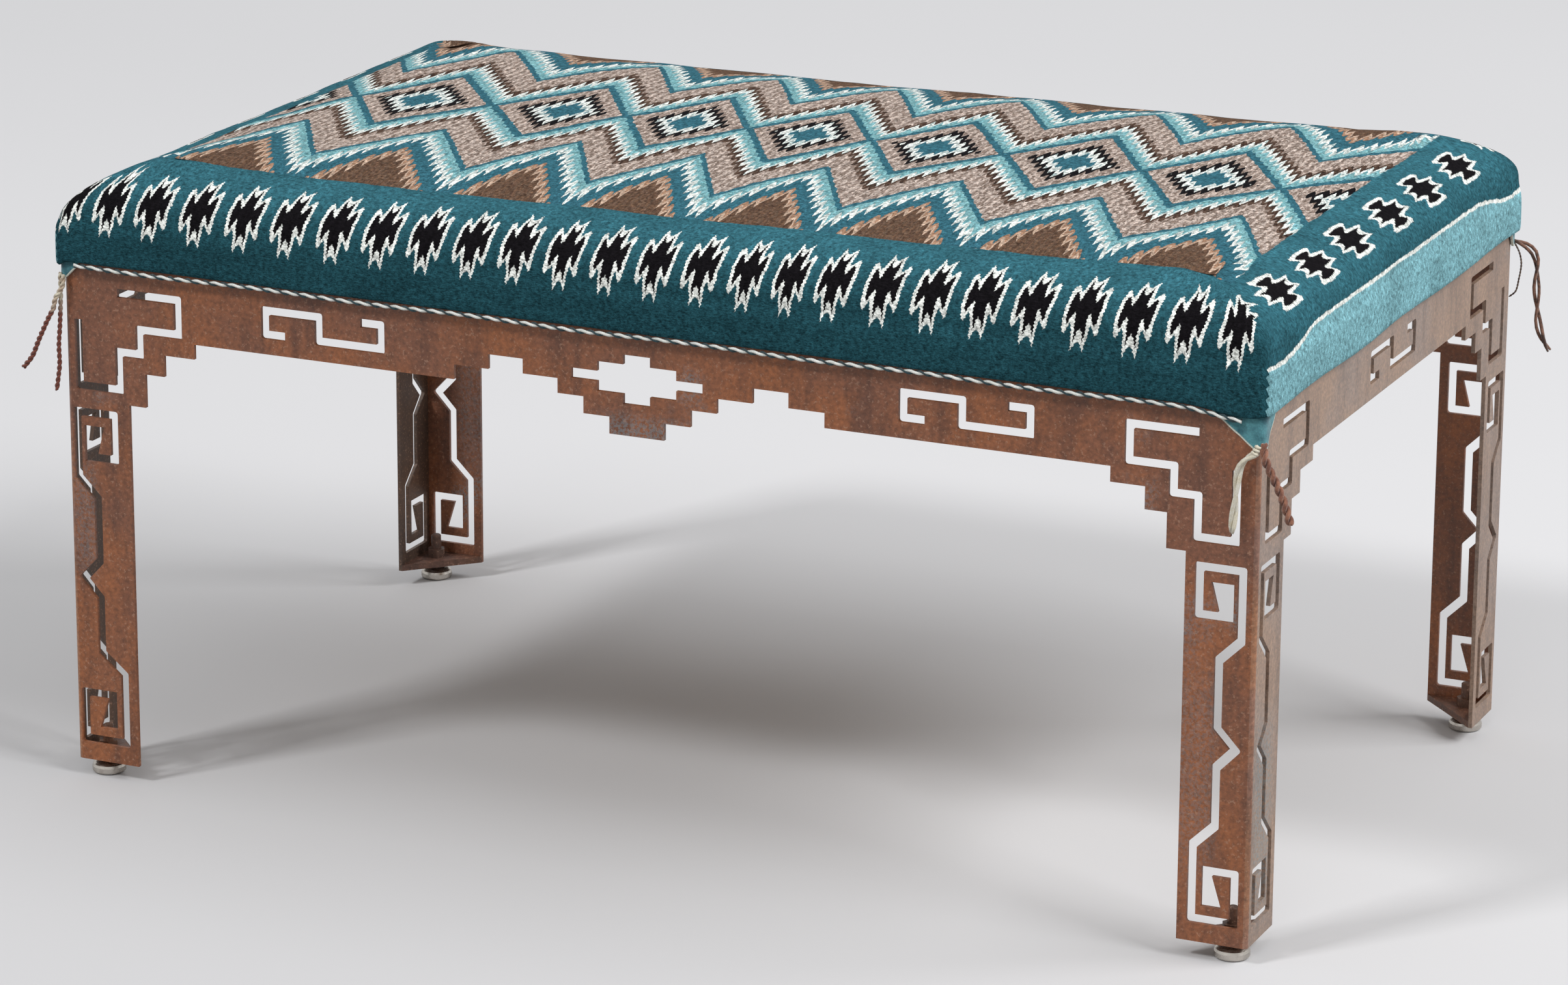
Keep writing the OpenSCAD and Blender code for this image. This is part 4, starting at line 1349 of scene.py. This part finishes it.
@dataclass(frozen=True)
class Tassel:
    """One yarn end: the CAD node that it stands for, its corner, its route and its twist.

    The route's points are millimetres: outwards from the end face, inwards from the tab, and up
    from the frame's top. Twist is the length of one turn, thick and apart are the diameter of
    each of its two strands and their distance from the cord's line, and knot is the length of the
    knot at its start.
    """

    node: str
    corner: Corner
    diameter: float
    yarn: Yarn
    slot: str
    twist: float
    thick: float
    apart: float
    rows: Tuple[Place, ...]
    knot: float = 0.0


@dataclass
class CornerTassels:
    """Yarn ends that hang from the folded corners."""

    tab_out: float = 0.0031
    route_step: float = 0.004

    def against(self, x: float, diameter: float) -> float:
        """Finds how far from the frame's face a cord's line is where it lies on the tab.

        Args:
            x: Place outwards from the end face.
            diameter: Diameter of the cord.

        Returns:
            The distance.
        """
        reach = STEEL.weld_r + self.tab_out + diameter / 2
        if x <= -STEEL.weld_r:
            return self.tab_out + diameter / 2
        return math.sqrt(reach ** 2 - (x + STEEL.weld_r) ** 2) - STEEL.weld_r

    def line(self, tassel: Tassel) -> List[Vector]:
        """Puts a route at its corner, with its start on the tab.

        Args:
            tassel: The tassel.

        Returns:
            The route in the bench's frame.
        """
        sx, sy = tassel.corner.side
        points = []
        for number, (x, y, z) in enumerate(tassel.rows):
            out = self.tab_out + tassel.diameter / 2
            if number == 0:
                out = self.against(x / 1000, tassel.diameter)
            points.append(Vector((sx * (STEEL.half_l + x / 1000),
                                  sy * (STEEL.half_d + out - y / 1000), STEEL.top + z / 1000)))
        return points

    def hang(self, tassel: Tassel) -> Piece:
        """Makes one tassel.

        Args:
            tassel: The tassel.

        Returns:
            The piece.
        """
        points = self.line(tassel)
        route = routed(points, self.route_step)
        cord = TwistedCord("yarn" + tassel.node[6:], points, tassel.twist, thick=tassel.thick,
                           apart=tassel.apart, knot=tassel.knot)
        piece = cord.build(tassel.yarn.build())
        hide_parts(tassel.node)
        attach(piece, "frame")
        return piece

    def build(self) -> List[Piece]:
        """Makes the six tassels.

        Returns:
            The pieces.
        """
        cream, dark, red = linear(228, 220, 198), linear(70, 48, 40), linear(122, 62, 46)
        white = Yarn("white_yarn", cream, linear(236, 232, 218))
        rust = Yarn("brown_yarn", linear(116, 72, 56), linear(160, 108, 84))
        long_end = Yarn("left_dark_yarn", cream, linear(170, 146, 124), (0.350, 0.366, red))
        forked = Yarn("left_brown_yarn", cream, linear(190, 168, 146), (0.352, 0.362, red))
        back = Yarn("back_brown_yarn", linear(144, 104, 86), dark)
        shade = Yarn("back_dark_yarn", linear(110, 92, 78), dark)
        tassels = (
            Tassel("tassel_front_right_white", Corner.FRONT_RIGHT, 0.0045, white, "white_yarn",
                   0.060, 0.0033, 0.0015,
                   ((0.4, 0, -27), (-2.4, -0.8, -32), (-7, -1.2, -35), (-11.5, -1.6, -41),
                    (-13.5, -1.6, -50), (-15, -1.6, -70), (-16.5, -1.6, -88)), 0.007),
            Tassel("tassel_front_right_brown", Corner.FRONT_RIGHT, 0.0045, rust, "brown_yarn",
                   0.014, 0.0034, 0.0015,
                   ((3.1, 0, -25), (4.6, -0.8, -33), (7.5, 0, -41), (11, 1, -48), (15, 2, -57),
                    (18.5, 3, -66), (22.5, 4, -79))),
            Tassel("tassel_front_left_dark", Corner.FRONT_LEFT, 0.0024, long_end, "dark_yarn",
                   0.009, 0.0021, 0.0008,
                   ((1.6, 0, -13), (1, 0, -33), (2, -0.5, -52), (3, -1, -67), (3, -1, -82),
                    (6, -1, -101))),
            Tassel("tassel_front_left_forked", Corner.FRONT_LEFT, 0.0024, forked, "brown_yarn",
                   0.009, 0.0022, 0.0009,
                   ((-1.6, 0, -14), (-1.8, -1.6, -22), (3, -3.5, -31), (5, -4, -39),
                    (9, -5, -47), (17, -5, -63), (23, -5, -76), (31, -5, -86))),
            Tassel("tassel_back_right_twisted", Corner.BACK_RIGHT, 0.0045, back, "brown_yarn",
                   0.058, 0.0027, 0.0019,
                   ((-2, 0, -16), (5, -2, -18), (12, -4, -22), (17, -4, -30), (18, -4, -51),
                    (20, -4, -76), (24, -4, -90), (30, -4, -99))),
            Tassel("tassel_back_right_strand", Corner.BACK_RIGHT, 0.00144, shade, "dark_yarn",
                   0.005, 0.0009, 0.0003,
                   ((2, 0, -17), (5, -1, -25), (6.5, -2, -34), (5, -2, -46), (3, -2, -55),
                    (-2, -2, -60))))
        made = [self.hang(tassel) for tassel in tassels]
        LOG.info("tassels: %d yarn cords", len(made))
        return made


@dataclass
class SelvedgeCords:
    """The twisted white and dark cord along each long hem."""

    reach: float = 0.445
    y: float = 0.280
    z: float = 0.390
    white_r: float = 0.0011
    white_out: float = 0.0006
    dark_r: float = 0.0008
    dark_out: float = 0.0012
    pitch: float = 0.0145
    turn_steps: int = 12
    sides: int = 8
    droop: float = 0.0045
    wave: float = 0.0005
    wave_rate: float = 37

    def strand(self, mesh: Mesh, radius: float, offset: float, start: float) -> None:
        """Winds one strand along the x axis.

        Args:
            mesh: The empty bmesh that it is made in.
            radius: Radius of the strand.
            offset: Distance of its line from the axis.
            start: Turn at which it starts, in radians.
        """
        ring = bmesh.ops.create_circle(mesh, segments=self.sides, radius=radius,
                                       cap_ends=True)["verts"]
        bmesh.ops.rotate(mesh, verts=ring, cent=(0, 0, 0),
                         matrix=Matrix.Rotation(math.pi / 2, 3, "Y"))
        bmesh.ops.translate(mesh, verts=ring, vec=(-self.reach, 0, offset))
        bmesh.ops.rotate(mesh, verts=ring, cent=(0, 0, 0), matrix=Matrix.Rotation(start, 3, "X"))
        turns = 2 * self.reach / self.pitch
        steps = round(turns * self.turn_steps)
        bmesh.ops.spin(mesh, geom=mesh.verts[:] + mesh.edges[:] + mesh.faces[:], cent=(0, 0, 0),
                       axis=(1, 0, 0), dvec=(2 * self.reach / steps, 0, 0),
                       angle=2 * math.pi * turns, steps=steps)
        bmesh.ops.remove_doubles(mesh, verts=mesh.verts, dist=1e-6)

    def place(self, mesh: Mesh, side: int) -> None:
        """Puts a cord under its hem, with the droop at the front-right corner.

        Args:
            mesh: The cord around the x axis.
            side: -1 for the front, 1 for the back.
        """
        for vertex in mesh.verts:
            droop = self.droop * eased(vertex.co.x, *DROOP) if side < 0 else 0.0
            wave = self.wave * math.sin(vertex.co.x * self.wave_rate)
            vertex.co += Vector((0, side * self.y, self.z - droop + wave))
        bmesh.ops.recalc_face_normals(mesh, faces=mesh.faces)

    def build(self) -> List[Piece]:
        """Makes both cords.

        Returns:
            The pieces.
        """
        white = Yarn("selvedge_white", linear(250, 251, 247), linear(236, 240, 234)).build()
        dark = Yarn("selvedge_dark", linear(24, 48, 54), linear(36, 66, 74)).build()
        strands = (("white", white, self.white_r, self.white_out, 0.0),
                   ("dark", dark, self.dark_r, self.dark_out, math.pi))
        made = []
        for side, word in ((-1, "front"), (1, "back")):
            for name, yarn, radius, offset, start in strands:
                mesh = bmesh.new()
                self.strand(mesh, radius, offset, start)
                self.place(mesh, side)
                piece = finished(f"selvedge_{name}_{word}", mesh, yarn)
                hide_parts(f"selvedge_{word}")
                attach(piece, "frame")
                made.append(piece)
        LOG.info("selvedge: %d strands", len(made))
        return made


@dataclass
class CornerTabs:
    """The blanket's corners, folded down around the steel below the hem."""

    gap: float = 0.0009
    thick: float = 0.0022
    shallow: float = 0.007
    columns: int = 40
    rows: int = 14
    puff: float = 0.0003
    puff_rate: float = 520
    wall_share: float = 0.9
    edge_r: float = 0.0006
    # Width on the long side, width on the end, and drop
    folds: Dict[Corner, Place] = field(default_factory=lambda: {
        Corner.FRONT_LEFT: (0.013, 0.012, 0.0165), Corner.FRONT_RIGHT: (0.034, 0.020, 0.031),
        Corner.BACK_LEFT: (0.034, 0.020, 0.020), Corner.BACK_RIGHT: (0.016, 0.010, 0.0185)})

    def wrapped(self, along: float, long_w: float, short_w: float) -> Place:
        """Place around the corner, seen from above, of a length along the tab.

        Args:
            along: Length from the tab's end on the long side.
            long_w: The tab's width on the long side.
            short_w: Its width on the end.

        Returns:
            x outwards from the end face, y inwards from the front face, and the share of the
            way from the tab's end to the corner, 0 to 1 and back to 0.
        """
        out = self.gap + self.thick / 2
        first = long_w - STEEL.weld_r
        reach = STEEL.weld_r + out
        bend = reach * math.pi / 2
        if along <= first:
            return -long_w + along, -out, along / first
        if along <= first + bend:
            angle = (along - first) / reach
            return (reach * math.sin(angle) - STEEL.weld_r,
                    STEEL.weld_r - reach * math.cos(angle), 1.0)
        rest = along - first - bend
        return out, STEEL.weld_r + rest, 1 - rest / (short_w - STEEL.weld_r)

    def build_one(self, corner: Corner, cloth: Material) -> Piece:
        """Makes one folded corner.

        Args:
            corner: The corner.
            cloth: Its material.

        Returns:
            The piece.
        """
        long_w, short_w, drop = self.folds[corner]
        out = self.gap + self.thick / 2
        bend = (STEEL.weld_r + out) * math.pi / 2
        whole = long_w - STEEL.weld_r + bend + short_w - STEEL.weld_r
        mesh = bmesh.new()
        bmesh.ops.create_grid(mesh, x_segments=self.columns, y_segments=self.rows, size=0.5)
        weave = mesh.loops.layers.uv.new("weave")
        sx, sy = corner.side
        above: Dict[int, float] = {}
        for vertex in mesh.verts:
            along, up = (vertex.co.x + 0.5) * whole, vertex.co.y + 0.5
            x, y, share = self.wrapped(along, long_w, short_w)
            low = self.shallow + (drop - self.shallow) * share
            depth = self.gap + (low - self.gap) * (1 - up)
            above[vertex.index] = low - depth
            puff = self.puff * math.sin(along * self.puff_rate) * (1 - up)
            vertex.co = Vector((sx * (STEEL.half_l + x + (puff if y > 0 else 0)),
                                sy * (STEEL.half_d - y + (puff if y <= 0 else 0)),
                                STEEL.top - depth))
        for face in mesh.faces:
            for loop in face.loops:
                loop[weave].uv = (loop.vert.co.x, above[loop.vert.index])
        bmesh.ops.recalc_face_normals(mesh, faces=mesh.faces)
        if mesh.faces[:][0].normal.y * sy < 0:
            bmesh.ops.reverse_faces(mesh, faces=mesh.faces)
        piece = finished(f"folded_tab_{corner.title}", mesh, cloth)
        wall = piece.modifiers.new("wall", "SOLIDIFY")
        wall.thickness, wall.offset = self.thick * self.wall_share, 0.0
        soft = piece.modifiers.new("soft", "BEVEL")
        soft.width, soft.segments, soft.limit_method = self.edge_r, 2, "ANGLE"
        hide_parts("corner_tabs")
        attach(piece, "frame")
        return piece

    def build(self) -> List[Piece]:
        """Makes the four folded corners.

        Returns:
            The pieces.
        """
        cloth = FoldedCloth().build()
        made = [self.build_one(corner, cloth) for corner in Corner]
        LOG.info("tabs: %d folded corners", len(made))
        return made


@dataclass
class Studio:
    """Camera, lamps and paper."""

    place: Place = (1.6406, -3.6487, 1.4232)
    azimuth: float = 23.109
    down: float = 15.804
    roll: float = 0.640
    lens: float = 129.675
    shift: Tuple[float, float] = (-0.0765, -0.0740)
    sky: Colour = linear(222, 222, 222)
    even: float = 0.42
    # Name, place, width and height, and power of each soft box
    lamps: Tuple[Tuple[str, Place, Tuple[float, float], float], ...] = (
        ("front_box", (-6.1, -9.6, 12.3), (2.6, 2.6), 985),
        ("front_fill", (2.7, -9.3, 13.4), (5.8, 4.3), 180),
        ("right_box", (7.7, -1.6, 7.5), (3.4, 3.4), 430),
        ("right_fill", (6.4, 1.8, 6.2), (3.7, 3.7), 285))
    aim: Place = (0, 0, 0.3)
    paper_half: float = 20

    def camera(self) -> None:
        """Makes the camera at the photograph's angle."""
        az, el, roll = (math.radians(angle) for angle in (self.azimuth, self.down, self.roll))
        ahead = Vector((-math.sin(az) * math.cos(el), math.cos(az) * math.cos(el), -math.sin(el)))
        right = ahead.cross(Vector((0, 0, 1))).normalized()
        up = right.cross(ahead)
        across = right * math.cos(roll) + up * math.sin(roll)
        upright = up * math.cos(roll) - right * math.sin(roll)
        data = bpy.data.cameras.new("camera")
        data.lens, data.sensor_width = self.lens, 36
        data.shift_x, data.shift_y = self.shift
        data.clip_start, data.clip_end = 0.1, 100
        camera = bpy.data.objects.new("camera", data)
        turn = Matrix((across, upright, -ahead)).transposed()
        camera.matrix_world = Matrix.Translation(self.place) @ turn.to_4x4()
        bpy.context.scene.collection.objects.link(camera)
        bpy.context.scene.camera = camera

    def lamp(self, name: str, place: Place, size: Tuple[float, float],
             power: float) -> None:
        """Makes one soft box that faces the bench.

        Args:
            name: Its name.
            place: Its place.
            size: Its width and height.
            power: Its power in watts.
        """
        data = bpy.data.lights.new(name, "AREA")
        data.shape, data.size, data.size_y, data.energy = "RECTANGLE", *size, power
        lamp = bpy.data.objects.new(name, data)
        turn = (Vector(place) - Vector(self.aim)).to_track_quat("Z", "Y")
        lamp.matrix_world = Matrix.Translation(place) @ turn.to_matrix().to_4x4()
        bpy.context.scene.collection.objects.link(lamp)

    def world(self) -> None:
        """Gives the world an even light, paler where it is seen directly or mirrored."""
        world = bpy.data.worlds.new("studio")
        bpy.context.scene.world = world
        world.use_nodes = True
        tree = world.node_tree
        tree.nodes.clear()
        seen, even, mix, rays, out = (tree.nodes.new("ShaderNode" + kind) for kind in (
            "Background", "Background", "MixShader", "LightPath", "OutputWorld"))
        seen.inputs[0].default_value = (*self.sky, 1)
        even.inputs[0].default_value = (1, 1, 1, 1)
        even.inputs[1].default_value = self.even
        both = tree.nodes.new("ShaderNodeMath")
        both.operation = "MAXIMUM"
        tree.links.new(rays.outputs["Is Camera Ray"], both.inputs[0])
        tree.links.new(rays.outputs["Is Glossy Ray"], both.inputs[1])
        tree.links.new(both.outputs[0], mix.inputs[0])
        tree.links.new(even.outputs[0], mix.inputs[1])
        tree.links.new(seen.outputs[0], mix.inputs[2])
        tree.links.new(mix.outputs[0], out.inputs[0])

    def paper(self) -> None:
        """Lays the studio paper on the floor."""
        mesh = bmesh.new()
        bmesh.ops.create_grid(mesh, x_segments=8, y_segments=8, size=self.paper_half)
        floor = finished("studio_floor", mesh, StudioPaper().build())

    def build(self) -> None:
        """Sets the studio up."""
        self.camera()
        self.world()
        for lamp in self.lamps:
            self.lamp(*lamp)
        self.paper()
        bpy.context.scene.view_settings.view_transform = "Standard"
        LOG.info("studio: camera, %d soft boxes and paper", len(self.lamps))


def main() -> None:
    """Builds the scene."""
    logging.basicConfig(level=logging.INFO, format="%(name)s: %(message)s")
    builders: List[Callable[[], object]] = [
        Studio().build, CornerTassels().build, SteelFrame().build, LevellingGlides().build,
        WovenSeat().build, SelvedgeCords().build, CornerTabs().build]
    for builder in builders:
        builder()


if __name__ == "__main__":
    main()
